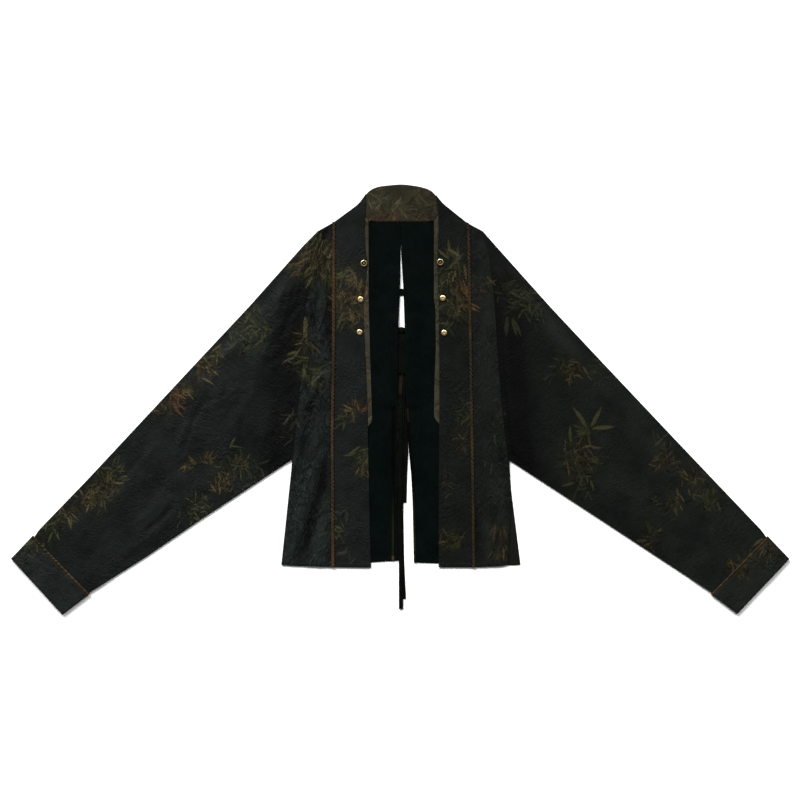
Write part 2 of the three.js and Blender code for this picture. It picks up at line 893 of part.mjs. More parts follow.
  // Snaps on the band: a socket above and two caps.
  half.snaps.forEach((snap, k) => {
    const section = snap.socket ? socketSection : capSection;
    const base = bandHeight(half, sign * snap.x, snap.y) + layer;
    const name = "snap_" + side + "_" + (k + 1);
    add(name, turned(section, sign * snap.x, snap.y, base), brass);
  });
}

// Collar: its lining shows, with the outer cloth below it.
const neckRound = [...[...placed(left.neck, -1)].reverse(), ...placed(right.neck, 1).slice(1)];
const collarCount = 22;
const collarGrid = trimmed(
  patch(
    steps(neckRound, collarCount),
    steps(collarTop, collarCount),
    steps([neckRound[0], collarTop[0]], 4),
    steps([neckRound.at(-1), collarTop.at(-1)], 4),
  ),
  gap / 2,
);
add("collar_outer", sheet(collarGrid, () => 0), cloth);
add("collar_lining", sheet(collarGrid, () => layer), jacquard);

// Ties: two bars across the opening, and a bow on the lower one.
const barReach = { from: -18, to: 21 };
const barWidth = 13;
for (const [name, y, tilt] of [
  ["tie_upper_bar", 197.5, 0],
  ["tie_lower_bar", 126.0, 1.5],
]) {
  const ring = (x, shift) => [
    new THREE.Vector3(x, y - barWidth / 2 + shift, 0),
    new THREE.Vector3(x, y + barWidth / 2 + shift, 0),
    new THREE.Vector3(x, y + barWidth / 2 + shift, strapWall),
    new THREE.Vector3(x, y - barWidth / 2 + shift, strapWall),
  ];
  add(name, loft([ring(barReach.from, tilt), ring(barReach.to, -tilt)]), cloth);
}
add("tie_upper_tail", strap(upperTail, strapWidth, strapWall), cloth);
add("tie_lower_tail_right", strap(tailRight, strapWidth, strapWall), cloth);
add("tie_lower_tail_left", strap(tailLeft, strapWidth, strapWall), cloth);

// Each loop of the bow is a flattened ring of strap that lies on the tails.
const loopLow = strapWall + gap;
const loopHigh = loopLow + 2 * strapWall + gap;
const loopEnds = { from: 46.5, to: 119.5 };
for (const [name, x] of [
  ["tie_lower_loop_left", -0.5],
  ["tie_lower_loop_right", 7.5],
]) {
  const ring = (aside, inset) => {
    const radius = (loopHigh - loopLow) / 2 - inset;
    const level = (loopLow + loopHigh) / 2;
    const points = [];
    for (const [end, way] of [
      [loopEnds.to, 1],
      [loopEnds.from, -1],
    ]) {
      for (let k = 0; k <= 4; k += 1) {
        const angle = Math.PI * (k / 4 - 0.5);
        const reach = end - way * (loopHigh - loopLow) * 0.5 + way * radius * Math.cos(angle);
        points.push(new THREE.Vector3(aside, reach, level + way * radius * Math.sin(angle)));
      }
    }
    return points;
  };
  const low = x - strapWidth / 2;
  const high = x + strapWidth / 2;
  add(
    name,
    hollow([ring(low, 0), ring(high, 0)], [ring(low, strapWall), ring(high, strapWall)]),
    cloth,
  );
}

// The knot stands on the bar, inside the opening.
const knot = { x: 2.7, y: 127.0, halfWidth: 5.2, halfLength: 6.6, high: 3.4 };
const knotRings = [0, 0.3, 0.75, 1].map((rise) => {
  const spread = Math.sqrt(1 - 0.75 * (2 * Math.abs(rise - 0.45)) ** 2);
  const ring = [];
  for (let k = 0; k < roundSteps; k += 1) {
    const angle = (2 * Math.PI * k) / roundSteps;
    ring.push(
      new THREE.Vector3(
        knot.x + knot.halfWidth * spread * Math.cos(angle),
        knot.y + knot.halfLength * spread * Math.sin(angle),
        loopLow + knot.high * rise,
      ),
    );
  }
  return ring;
});
add("tie_lower_knot", loft(knotRings), cloth);

export default jacket;
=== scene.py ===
# An open jacket with a standing collar and wide sleeves, laid flat and face up on a pale floor.
# Tables and heights are in millimetres; meshes are made in metres.
import math

import bpy
import numpy as np
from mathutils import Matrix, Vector


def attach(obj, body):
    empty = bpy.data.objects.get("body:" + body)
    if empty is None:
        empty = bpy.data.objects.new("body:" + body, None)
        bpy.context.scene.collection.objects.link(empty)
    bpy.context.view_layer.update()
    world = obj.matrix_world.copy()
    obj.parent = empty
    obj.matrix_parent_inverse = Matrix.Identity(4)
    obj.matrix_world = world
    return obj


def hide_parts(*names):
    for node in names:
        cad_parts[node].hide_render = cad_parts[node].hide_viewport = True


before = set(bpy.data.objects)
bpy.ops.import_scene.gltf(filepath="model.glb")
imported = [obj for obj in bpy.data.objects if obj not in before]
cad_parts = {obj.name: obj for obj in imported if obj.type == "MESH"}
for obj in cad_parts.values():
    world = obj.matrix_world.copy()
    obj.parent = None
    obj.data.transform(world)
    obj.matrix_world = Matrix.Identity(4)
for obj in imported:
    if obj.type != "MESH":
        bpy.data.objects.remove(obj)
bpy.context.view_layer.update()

MM = 0.001
WALL = 1.2  # one piece of cloth with its lining pressed to it
GAP = 0.3
LAYER = WALL + GAP
TIE_WALL = 1.0
TIE_WIDTH = 7.8
PIPING_WIDTH = 5.4
PIPING_HEIGHT = 1.9
PIPING_TWIST = 7.0  # length of one turn of the twisted piping
FACING_MARGIN = 12
FACING_WALL = 1.0
SLEEVE_HOLLOW = 0.6
CUFF_LIFT = 1.5  # the sleeve's end lies on the cuff's lower side
SLIT_LIFT = 3.9  # how far the back rises over the bow
SLIT_REST = 2.0  # how far it rises over the ties
SLIT_FLAT = 8  # the width beside the opening that keeps this height
SLIT_FADE = 32  # the width over which it comes down again
CORD_WALL = 0.8
DEEPEST = -0.1  # the lowest that a trough may go
MESH_STEP = 3.0  # spacing of the cloth meshes
FINE_STEP = 2.2  # spacing on the fronts, which are more creased
SLEEVE_COUNTS = (100, 34)  # points over and under in one ring of a flattened tube
CUFF_COUNTS = (46, 24)
CORD_COUNTS = (150, 30)
HEM_INSET = 7  # from the hem's edge to its stitches
STITCH_LIFT = 0.05

# The upper part of the front's rolled edge and of the armhole's seam.
FOLD_UP = [(190.2, -29.3), (183.2, 52.1), (178.5, 127.9), (173.0, 201.9), (164.7, 266.7), (153.5, 309.8)]
ARM_UP = [(185.2, -29.3), (178.2, 52.1), (173.5, 127.9), (168.0, 201.9), (161.2, 266.7), (153.5, 309.8)]

# Edges of each half as (x, y) rows, with x out from the middle line. slit_facing places the strip
# beside the back opening, pale_end lightens the sleeve's end and dark_top darkens the front's top, armhole
# is (high, near, far) for the sleeve's swell, and a snap is (x, y, whether it is a socket).
LEFT = {
    "side": "left",
    "sign": -1,
    "back_side": [(220.0, -306.5), (199.5, -111.6)],
    "front_side": [(220.0, -306.5), (199.5, -111.6)],
    "fold": [(199.5, -111.6), (196.6, -88.0), *FOLD_UP],
    "arm": [(199.5, -111.6), (192.6, -88.0), *ARM_UP],
    "piping": [
        (124.3, -310.8), (124.9, -203.0), (125.6, -50.0), (123.4, 72.0), (122.7, 327.5),
    ],
    "band_edge": [
        (53.7, -311.8), (59.6, -57.0), (60.3, -20.0), (63.8, 72.0), (67.0, 130.0),
        (68.6, 186.0), (63.5, 225.0), (60.5, 251.0), (64.5, 280.0), (66.2, 311.0),
        (63.3, 358.0), (63.3, 380.1),
    ],
    "side_neck": (76.0, 361.6),
    "neck": [(0.0, 327.7), (30.0, 327.7), (56.8, 328.2), (64.5, 337.0), (70.5, 348.0), (74.5, 358.6)],
    "slit": [
        (2.6, -298.9), (3.0, -200.0), (3.2, -142.0), (4.6, -124.0), (4.6, -100.0), (4.4, -50.0),
        (4.15, -20.0), (3.3, 46.0), (3.0, 133.0), (0.4, 191.0), (0.1, 206.0), (-0.9, 257.0),
        (-1.15, 292.0), (-0.8, 320.0), (0.0, 327.7),
    ],
    "back_hem": [(220.0, -306.5), (55.9, -302.2), (2.6, -298.9)],
    "front_hem": [(220.0, -306.5), (198.0, -308.5), (124.3, -310.8)],
    "facing_edge": [
        (59.8, -51.9), (51.2, -42.0), (54.9, 72.0), (57.9, 183.0), (57.9, 322.0), (57.9, 329.5),
    ],
    "sleeve_over": [
        (153.5, 309.8), (180.0, 283.1), (278.0, 172.9), (370.0, 74.8),
        (579.0, -149.3), (672.0, -245.9), (675.0, -254.2), (686.5, -265.0),
    ],
    "sleeve_under": [
        (199.5, -111.6), (370.0, -223.9), (470.0, -292.0), (575.2, -358.4), (588.6, -366.4),
    ],
    "cuff": {
        "inner_over": (682.0, -255.2), "outer_over": (719.3, -294.4),
        "outer_under": (624.0, -398.4), "inner_under": (577.6, -363.0),
    },
    "slit_facing": {"inside": 6.5, "wide": 5.0, "top": -8, "least": 10.8},
    "pale_end": 0.0,
    "dark_top": 0.7,
    "armhole": (5.0, 46, 260),
    "snaps": [(67.2, 251.0, True), (73.3, 184.2, False), (75.1, 123.5, False)],
}
RIGHT = {
    "side": "right",
    "sign": 1,
    "back_side": [(222.6, -306.5), (205.5, -170.0), (201.7, -113.1)],
    "front_side": [(199.4, -306.5), (205.5, -203.2), (201.7, -113.1)],
    "fold": [(201.7, -113.1), (197.2, -88.0), *FOLD_UP],
    "arm": [(201.7, -113.1), (193.2, -88.0), *ARM_UP],
    "piping": [
        (136.0, -311.2), (133.6, -112.0), (130.4, 72.0), (126.2, 317.0), (123.6, 326.4),
    ],
    "band_edge": [
        (70.7, -311.1), (71.6, -48.0), (72.2, -35.0), (72.3, 72.0), (70.7, 183.0),
        (68.3, 250.0), (70.7, 311.0), (69.6, 358.0), (65.5, 378.6),
    ],
    "side_neck": (78.3, 362.3),
    "neck": [(0.0, 327.7), (30.0, 327.7), (60.7, 328.2), (67.5, 337.0), (73.0, 348.0), (76.8, 358.6)],
    "slit": [
        (25.2, -302.6), (22.7, -191.0), (20.2, -142.0), (16.0, -100.0), (9.8, 1.0),
        (8.9, 46.0), (8.0, 133.0), (5.6, 206.0), (2.0, 257.0), (0.9, 292.0), (0.55, 320.0), (0.0, 327.7),
    ],
    "back_hem": [(222.6, -306.5), (204.0, -307.7), (69.9, -303.9), (25.2, -302.6)],
    "front_hem": [(199.4, -306.5), (188.0, -309.2), (136.0, -311.2)],
    "facing_edge": [
        (71.6, -46.5), (62.4, -34.9), (62.9, 35.0), (65.5, 91.0),
        (64.8, 165.0), (62.0, 183.0), (62.0, 276.0), (62.0, 329.9),
    ],
    "sleeve_over": [
        (153.5, 309.8), (180.0, 279.8), (278.0, 170.2), (370.0, 72.1),
        (500.0, -65.6), (672.0, -246.6), (675.0, -254.2), (686.5, -265.0),
    ],
    "sleeve_under": [(201.7, -113.1), (370.0, -222.8), (575.2, -357.6), (588.6, -366.0)],
    "cuff": {
        "inner_over": (682.2, -256.2), "outer_over": (719.3, -294.9),
        "outer_under": (622.8, -396.8), "inner_under": (577.6, -362.8),
    },
    "slit_facing": {"inside": 0.5, "wide": 4.5, "top": -16, "least": 0.0},
    "pale_end": 0.35,
    "dark_top": 0.0,
    "armhole": (4.5, 10, 80),
    "snaps": [(74.0, 253.0, True), (78.6, 186.6, False), (81.0, 122.6, False)],
}
COLLAR_TOP = [
    (-67.2, 373.5), (-62.5, 380.2), (-54.8, 387.9), (-40.5, 393.4), (-20.7, 395.6), (1.9, 397.5),
    (23.1, 395.2), (38.7, 392.5), (51.4, 388.6), (59.2, 385.1), (64.6, 378.2), (69.4, 371.0),
]

# Folds as rows of (x1, y1, x2, y2, high, wide, bend): a soft ridge between two points, or a
# trough where high is negative, bowed sideways by bend. The first rows are the solids' own.
SLEEVE_FOLDS = {
    "left": [
        (200, 262, 246, 96, 2.3, 20, 0),
        (232, 132, 372, -52, 2.3, 24, 0),
        (268, 150, 420, -14, 1.1, 20, 0),
        (352, -36, 622, -262, 1.6, 22, 0),
        (300, -104, 560, -312, 1.5, 22, 0),
        (204, 120, 268, -60, -1.2, 16, 4),
        (262, 60, 322, -70, 1.3, 10, 8),
        (296, -22, 300, -118, -1.3, 6, 3),
        (312, -30, 330, -130, 1.0, 9, 0),
        (350, 10, 404, -108, -1.6, 6.5, -9),
        (372, -26, 420, -120, 1.3, 9, -6),
        (408, -184, 484, -256, -1.8, 6, 4),
        (420, -170, 500, -236, 1.2, 9, 3),
        (486, -114, 530, -180, -1.1, 6, -3),
        (500, -90, 548, -150, 1.0, 8, 2),
        (302, 128, 352, 50, 1.0, 8, 5),
        (332, 82, 366, 40, -1.5, 8, 6),
        (352, 100, 410, 24, 1.2, 9, 8),
        (380, 52, 404, 8, -1.6, 5, 5),
        (398, 40, 430, 2, 1.5, 6, 5),
        (420, 16, 436, -16, -1.5, 5, 4),
        (436, 6, 470, -40, 1.2, 8, 2),
        (430, -60, 540, -160, 1.1, 14, 6),
        (470, -100, 600, -230, -0.9, 13, -5),
        (540, -170, 640, -270, 0.9, 12, 3),
        (380, -130, 470, -210, 1.0, 12, -6),
        (440, -236, 560, -330, 0.9, 12, 4),
        (330, -150, 440, -232, -0.9, 12, 5),
        (500, -210, 610, -310, -0.9, 11, 4),
        (236, 226, 300, 138, 0.9, 9, -3),
        (214, 244, 268, 160, -0.9, 8, 3),
        (560, -250, 620, -322, 0.8, 9, 2),
        (250, -30, 300, -130, -0.9, 13, -4),
        (240, 20, 262, -110, 0.8, 10, 3),
    ],
    "right": [
        (205, 205, 430, -44, 2.1, 26, 0),
        (330, 30, 650, -262, 1.5, 30, 0),
        (250, -60, 490, -236, 1.5, 30, 0),
        (196, 262, 250, 150, 1.8, 16, -4),
        (226, 196, 340, 44, 2.2, 24, -6),
        (206, 150, 230, -60, -1.0, 16, 2),
        (186, 268, 214, 196, -1.5, 5, 3),
        (198, 270, 232, 206, 1.2, 6, 3),
        (178, 246, 196, 190, 1.1, 5, 2),
        (230, 240, 640, -190, 2.0, 30, 0),
        (478, -204, 556, -322, -1.2, 18, 4),
        (520, -150, 620, -262, 1.5, 22, 3),
        (400, -40, 500, -150, 0.9, 20, -4),
        (350, -120, 450, -210, -0.7, 18, 5),
        (440, 20, 470, -60, 0.7, 14, 2),
        (560, -210, 640, -300, -0.7, 13, 2),
        (270, 120, 300, 20, 0.7, 14, 4),
    ],
}
FRONT_FOLDS = {
    "left": [
        (186, -120, 214, -330, 1.4, 16, 0),
        (142, -150, 148, -360, 0.8, 14, 0),
        (148, 290, 158, 20, 1.1, 14, 0),
        (130, -112, 198, -318, -1.6, 13, 0),
        (152, -110, 208, -300, 1.6, 12, 0),
        (128, -170, 160, -330, 1.0, 10, 0),
        (136, 312, 146, 120, 0.8, 5, 3),
        (146, 300, 140, 150, -0.7, 4.5, -2),
        (162, 270, 150, 90, 0.8, 5.5, 4),
        (154, 240, 164, 60, -0.7, 5, 0),
        (140, 150, 136, -20, 0.8, 5, 2),
        (130, 64, 186, -22, 1.6, 7, -4),
        (128, 46, 180, -44, -1.1, 7, -4),
        (176, 0, 184, -80, 0.7, 6, 0),
        (150, -30, 166, -120, 0.8, 8, 0),
        (136, -60, 146, -170, -0.7, 7, 0),
        (128, 296, 172, 240, 0.9, 4, 3),
        (130, 270, 168, 214, -0.7, 4, 2),
        (134, 246, 160, 200, 0.8, 4, 2),
    ],
    "right": [
        (160, 260, 168, -60, 0.6, 16, 0),
        (182, -120, 190, -340, 0.8, 16, 0),
        (140, -196, 144, -320, -0.9, 8, 0),
        (158, -180, 164, -330, 0.7, 8, 0),
        (150, 300, 152, 200, 0.5, 6, 2),
        (176, 60, 182, -70, 0.5, 7, 0),
        (146, 120, 152, -30, 0.4, 8, 0),
    ],
}
BAND_FOLDS = {
    "left": [
        (90, 330, 96, 120, 0.35, 14, 0),
        (84, 60, 92, -120, 0.4, 13, 0),
        (104, -60, 98, -240, 0.45, 14, 0),
        (76, -170, 84, -300, 0.4, 9, 0),
        (110, 250, 108, 180, -0.25, 8, 0),
        (92, -230, 110, -306, 0.45, 9, 0),
    ],
    "right": [
        (100, 320, 104, 100, 0.35, 14, 0),
        (94, 80, 98, -140, 0.3, 14, 0),
        (106, -80, 100, -280, 0.35, 14, 0),
        (84, -190, 92, -300, 0.3, 9, 0),
    ],
}

# Small folds strewn over a box, as (seed, (x1, y1, x2, y2), count, heading, high, long, wide).
FRONT_CRINKLES = {
    "left": [
        (31, (126, 110, 176, 306), 44, 97, 0.9, 52, 3.4),
        (32, (126, -60, 186, 130), 34, 92, 0.6, 44, 3.8),
        (33, (124, -306, 212, -60), 46, -76, 0.6, 56, 4.5),
    ],
    "right": [
        (34, (130, -306, 200, 300), 30, 92, 0.35, 60, 5.0),
        (35, (140, 210, 176, 306), 10, 100, 0.6, 34, 3.4),
    ],
}
SLEEVE_CRINKLES = {
    "left": [
        (41, (190, -350, 670, 290), 190, -47, 0.7, 60, 5.5),
        (42, (184, 60, 300, 280), 40, -66, 0.9, 50, 4.5),
        (43, (300, -20, 450, 90), 22, -28, 0.9, 34, 4.0),
    ],
    "right": [
        (44, (190, -350, 670, 290), 80, -47, 0.35, 80, 7.0),
        (45, (180, 190, 230, 280), 12, -62, 0.9, 34, 3.6),
    ],
}

# Middle lines of the ties, as (x, y, z).
UPPER_TAIL = [
    (17.0, 190.5, 0), (17.0, 144.0, 0), (17.0, 136.0, 1.3), (17.0, 116.0, 1.3), (17.0, 108.0, 0),
    (16.0, 34.0, 0), (9.6, 4.0, 0), (11.0, -100.0, 0), (9.0, -145.0, 0), (7.9, -191.4, 0),
]
TAIL_RIGHT = [
    (7.5, 116.0, 0), (7.5, 43.0, 0), (7.5, 35.0, 1.3), (7.5, 14.0, 1.3), (3.9, -10.0, 1.3),
    (1.9, -196.0, 1.3), (1.9, -212.0, 0), (3.5, -302.0, 0), (6.9, -369.4, 0),
]
TAIL_LEFT = [
    (-0.6, 116.0, 0), (-0.6, 36.0, 0), (-0.6, 18.0, 2.6), (0.2, 8.0, 2.6), (0.1, -20.0, 2.6),
    (-0.3, -60.0, 2.6), (-0.6, -196.0, 2.6), (-0.4, -212.0, 1.3), (0.4, -290.0, 1.3),
    (1.3, -302.0, 1.3), (1.5, -387.9, 1.3),
]

# Bamboo sprays as (x, y, leaf, turn, spread, count, strewn, tone): leaf is a leaf's length,
# turn the way the spray points in degrees from +X, and strewn how far apart the leaves start.
SPRAYS = [
    (-150, 268, 30, 250, 120, 22, 26, "ochre"),
    (-160, 246, 32, 240, 90, 18, 26, "olive"),
    (-138, 240, 30, 262, 80, 14, 20, "olive"),
    (-180, 256, 36, 205, 60, 8, 16, "ochre"),
    (-100, 232, 30, 235, 120, 9, 16, "olive"),
    (-84, 214, 28, 250, 160, 12, 18, "ochre"),
    (-92, 192, 30, 240, 200, 16, 20, "ochre"),
    (-108, 176, 32, 110, 120, 8, 12, "ochre"),
    (-84, 160, 26, 260, 200, 12, 18, "ochre"),
    (-98, 146, 26, 230, 150, 7, 14, "olive"),
    (-280, 150, 26, 225, 200, 20, 30, "olive"),
    (-300, 128, 24, 220, 200, 12, 20, "grey"),
    (-262, 122, 28, 215, 150, 16, 24, "olive"),
    (-290, 104, 26, 210, 160, 14, 22, "grey"),
    (-346, 82, 26, 230, 180, 16, 22, "ochre"),
    (-366, 62, 30, 300, 120, 12, 18, "ochre"),
    (-384, 36, 34, 310, 50, 4, 8, "ochre"),
    (-400, 26, 26, 240, 180, 12, 18, "ochre"),
    (-424, 4, 30, 305, 90, 12, 18, "orange"),
    (-440, -14, 26, 260, 160, 8, 14, "ochre"),
    (-352, -114, 22, 90, 130, 9, 14, "ochre"),
    (-382, -118, 24, 180, 70, 8, 10, "ochre"),
    (-398, -124, 22, 235, 60, 4, 6, "ochre"),
    (-298, -122, 24, 240, 360, 26, 30, "olive"),
    (-276, -132, 24, 330, 160, 16, 26, "grey"),
    (-318, -138, 20, 120, 200, 10, 18, "grey"),
    (-330, -154, 20, 250, 360, 24, 18, "ochre"),
    (-300, -168, 22, 300, 180, 12, 22, "grey"),
    (-374, -198, 22, 250, 360, 28, 22, "olive"),
    (-390, -214, 22, 240, 150, 12, 18, "grey"),
    (-534, -140, 24, 90, 220, 18, 20, "olive"),
    (-540, -158, 26, 340, 300, 22, 20, "ochre"),
    (-572, -182, 22, 240, 360, 28, 22, "ochre"),
    (-556, -172, 22, 260, 200, 12, 20, "olive"),
    (-618, -206, 26, 265, 160, 14, 18, "ochre"),
    (-640, -226, 24, 250, 160, 14, 20, "olive"),
    (-175, 154, 42, 266, 10, 1, 1, "moss"),
    (-178, 118, 34, 250, 60, 4, 8, "ochre"),
    (-172, 108, 28, 250, 120, 7, 20, "ochre"),
    (-180, 66, 30, 230, 140, 8, 16, "olive"),
    (-190, 84, 30, 200, 60, 3, 8, "olive"),
    (-136, 58, 28, 205, 60, 8, 18, "olive"),
    (-156, 42, 26, 225, 120, 7, 14, "olive"),
    (-200, -32, 28, 230, 110, 6, 14, "grey"),
    (-206, -62, 22, 200, 120, 5, 12, "grey"),
    (-88, -20, 24, 200, 320, 13, 10, "ochre"),
    (-74, -20, 20, 60, 160, 6, 8, "orange"),
    (-104, -36, 22, 220, 120, 5, 8, "olive"),
    (-68, -100, 26, 262, 120, 13, 16, "olive"),
    (-70, -126, 24, 270, 140, 10, 12, "ochre"),
    (-114, -206, 24, 250, 160, 9, 18, "grey"),
    (-116, -240, 24, 255, 150, 9, 16, "olive"),
    (-96, -284, 24, 240, 150, 7, 14, "grey"),
    (-668, -262, 22, 240, 180, 10, 18, "olive"),
    (-694, -284, 22, 250, 220, 14, 20, "grey"),
    (84, 276, 34, 318, 30, 3, 6, "moss"),
    (96, 252, 36, 300, 50, 4, 8, "moss"),
    (104, 236, 36, 222, 60, 4, 8, "moss"),
    (92, 206, 30, 250, 200, 12, 18, "moss"),
    (112, 212, 32, 280, 60, 5, 10, "amber"),
    (90, 176, 30, 240, 240, 14, 20, "moss"),
    (116, 178, 28, 300, 120, 6, 12, "amber"),
    (104, 156, 36, 320, 40, 3, 8, "moss"),
    (96, 146, 28, 220, 150, 8, 14, "olive"),
    (152, 226, 30, 330, 60, 4, 8, "ochre"),
    (166, 200, 24, 180, 60, 3, 6, "orange"),
    (188, 190, 22, 330, 120, 4, 8, "grey"),
    (216, 204, 24, 280, 200, 16, 26, "olive"),
    (232, 182, 26, 290, 300, 26, 28, "olive"),
    (246, 164, 24, 320, 160, 14, 20, "grey"),
    (214, 156, 22, 170, 60, 4, 10, "olive"),
    (198, 150, 38, 262, 24, 2, 6, "grey"),
    (210, 150, 38, 286, 24, 2, 6, "olive"),
    (306, 62, 22, 200, 200, 14, 18, "olive"),
    (324, 52, 22, 280, 200, 14, 20, "ochre"),
    (356, 60, 22, 340, 160, 8, 14, "olive"),
    (276, 44, 20, 240, 120, 5, 10, "grey"),
    (344, -52, 48, 118, 10, 1, 1, "moss"),
    (352, -52, 46, 72, 10, 1, 1, "moss"),
    (354, -54, 44, 14, 16, 2, 2, "moss"),
    (348, -58, 34, 175, 40, 2, 2, "olive"),
    (346, -62, 30, 200, 200, 5, 6, "olive"),
    (318, -96, 32, 100, 150, 8, 14, "olive"),
    (336, -104, 28, 200, 360, 20, 26, "ochre"),
    (322, -120, 28, 240, 300, 18, 26, "olive"),
    (348, -116, 26, 330, 120, 8, 14, "olive"),
    (332, -148, 26, 250, 220, 14, 18, "olive"),
    (344, -168, 24, 290, 180, 8, 10, "grey"),
    (480, -72, 18, 60, 120, 5, 8, "grey"),
    (480, -90, 22, 20, 120, 7, 12, "olive"),
    (490, -114, 22, 300, 320, 22, 18, "ochre"),
    (508, -116, 22, 350, 90, 6, 8, "olive"),
    (540, -146, 22, 200, 300, 20, 20, "ochre"),
    (556, -166, 20, 300, 200, 12, 18, "olive"),
    (572, -182, 24, 200, 260, 20, 22, "olive"),
    (600, -176, 22, 20, 80, 6, 12, "grey"),
    (508, -192, 22, 200, 200, 14, 16, "ochre"),
    (478, -190, 20, 190, 120, 5, 10, "grey"),
    (464, -252, 26, 90, 200, 12, 12, "olive"),
    (460, -262, 20, 240, 200, 9, 12, "ochre"),
    (628, -312, 22, 200, 240, 18, 20, "ochre"),
    (648, -298, 22, 40, 160, 8, 14, "olive"),
    (684, -262, 26, 262, 90, 12, 16, "ochre"),
    (694, -282, 22, 280, 120, 8, 14, "olive"),
    (122, 0, 22, 250, 160, 9, 16, "grey"),
    (120, -28, 24, 230, 200, 12, 18, "olive"),
    (112, -72, 22, 200, 260, 14, 18, "ochre"),
    (180, -16, 22, 330, 160, 6, 12, "grey"),
    (174, -60, 30, 265, 30, 3, 6, "grey"),
    (82, -132, 22, 250, 140, 9, 14, "grey"),
    (86, -156, 20, 270, 160, 8, 14, "grey"),
    (164, -112, 22, 265, 60, 3, 10, "grey"),
    (112, -258, 26, 215, 120, 16, 18, "olive"),
    (92, -266, 26, 190, 100, 10, 14, "ochre"),
    (78, -240, 20, 270, 60, 4, 8, "olive"),
    (184, -236, 34, 262, 30, 6, 12, "ochre"),
    (190, -268, 30, 272, 60, 10, 16, "ochre"),
    (176, -284, 26, 250, 60, 5, 10, "olive"),
    (-152, 292, 34, 258, 50, 12, 24, "olive"),
    (-146, 262, 34, 264, 50, 12, 24, "ochre"),
    (-134, 230, 30, 266, 40, 6, 16, "olive"),
    (-86, 238, 30, 262, 50, 6, 12, "ochre"),
    (-104, 198, 32, 250, 60, 6, 10, "ochre"),
    (90, 262, 34, 118, 40, 3, 8, "moss"),
    (98, 250, 38, 60, 30, 2, 6, "moss"),
    (108, 240, 34, 250, 50, 6, 12, "moss"),
    (92, 226, 34, 262, 90, 9, 14, "moss"),
    (116, 222, 30, 262, 60, 8, 12, "amber"),
    (98, 190, 32, 285, 90, 8, 14, "moss"),
    (112, 166, 32, 295, 60, 6, 10, "olive"),
]
# Stalks between sprays, as (x1, y1, x2, y2, tone).
STALKS = [
    (-170, 152, -178, 72, "ochre"),
    (-174, 150, -186, 116, "olive"),
    (-88, 226, -96, 150, "olive"),
    (348, -48, 346, -84, "olive"),
    (334, -70, 338, -160, "olive"),
    (340, -120, 346, -186, "grey"),
    (156, 228, 178, 214, "orange"),
    (178, 214, 184, 196, "olive"),
    (488, -76, 494, -118, "olive"),
    (-320, 88, -372, 30, "grey"),
    (-536, -136, -582, -196, "grey"),
    (-340, -114, -396, -120, "ochre"),
    (104, 228, 104, 160, "olive"),
    (186, -222, 190, -300, "olive"),
]
LEFT_SHADE = 0.84
RIGHT_SHADE = 0.5  # the right side's leaves are darker than the left's: painted shade
FEW_LEAVES = 4  # a spray of more leaves than this is thickened
THICKENED = 2.1
LONE_LEAVES = 2  # a spray of so many leaves or fewer has them long, wide and bright
LONE_BRIGHT = 1.15
LONE_WIDE = 0.12  # half such a leaf's width, as a share of its length
STALK_HALF = 1.9
FULL_HAZE = 14  # a spray of so many leaves has the whole of its soft ground
LEAF_LAYERS = ("leaf_over", "leaf_middle", "leaf_under")  # up to three leaves show at one place
# A leaf's own colour, and the colour of its tip, as the eye reads them.
TONES = {
    "grey": ((34, 36, 27), (41, 41, 30)),
    "olive": ((42, 43, 24), (50, 48, 26)),
    "moss": ((62, 61, 37), (68, 62, 40)),
    "amber": ((72, 56, 32), (84, 58, 34)),
    "ochre": ((56, 49, 29), (61, 50, 28)),
    "orange": ((56, 41, 24), (73, 43, 25)),
    "cream": ((60, 56, 40), (67, 63, 46)),
    "rose": ((62, 46, 31), (72, 47, 31)),
}


def linear(rgb):
    """A colour as the eye reads it, in the linear values that a shader takes."""
    part = np.asarray(rgb, float) / 255
    return np.where(part <= 0.04045, part / 12.92, ((part + 0.055) / 1.055) ** 2.4)


def smooth(t):
    """Rises softly from 0 to 1 as t goes from 0 to 1."""
    held = np.clip(t, 0, 1)
    return held * held * (3 - 2 * held)


# Outlines and surfaces.
def resampled(points, count, soften=6.0):
    """Evenly spaced points along a table, with its corners eased."""
    points = np.asarray(points, float)
    reach = np.concatenate(([0], np.cumsum(np.linalg.norm(np.diff(points, axis=0), axis=1))))
    at = np.linspace(0, reach[-1], count + 1)
    line = np.column_stack([np.interp(at, reach, column) for column in points.T])
    for _ in range(int(2 * (soften * count / reach[-1]) ** 2)):
        line[1:-1] = (line[:-2] + 2 * line[1:-1] + line[2:]) / 4
    return line


def length_of(points):
    return float(np.linalg.norm(np.diff(np.asarray(points, float), axis=0), axis=1).sum())


def divisions(line, step=MESH_STEP):
    """How many mesh steps a line takes."""
    return max(2, math.ceil(length_of(line) / step))


def placed(line, sign):
    return np.asarray(line, float) * (sign, 1)


def edge_at(points, y):
    """How far out a table's edge is at a height y."""
    xs, ys = np.asarray(points, float).T[:2]
    return np.interp(y, ys, xs)


def patch(bottom, top, outer, inner, sign=1):
    """Rows of points between four edges that meet at their corners, on the side that sign says."""
    bottom, top, outer, inner = (placed(line, sign) for line in (bottom, top, outer, inner))
    u = np.linspace(0, 1, len(bottom))[None, :, None]
    v = np.linspace(0, 1, len(outer))[:, None, None]
    ruled = (1 - v) * bottom[None] + v * top[None]
    sides = (1 - u) * outer[:, None] + u * inner[:, None]
    low = (1 - u) * bottom[0] + u * bottom[-1]
    high = (1 - u) * top[0] + u * top[-1]
    return ruled + sides - (1 - v) * low - v * high


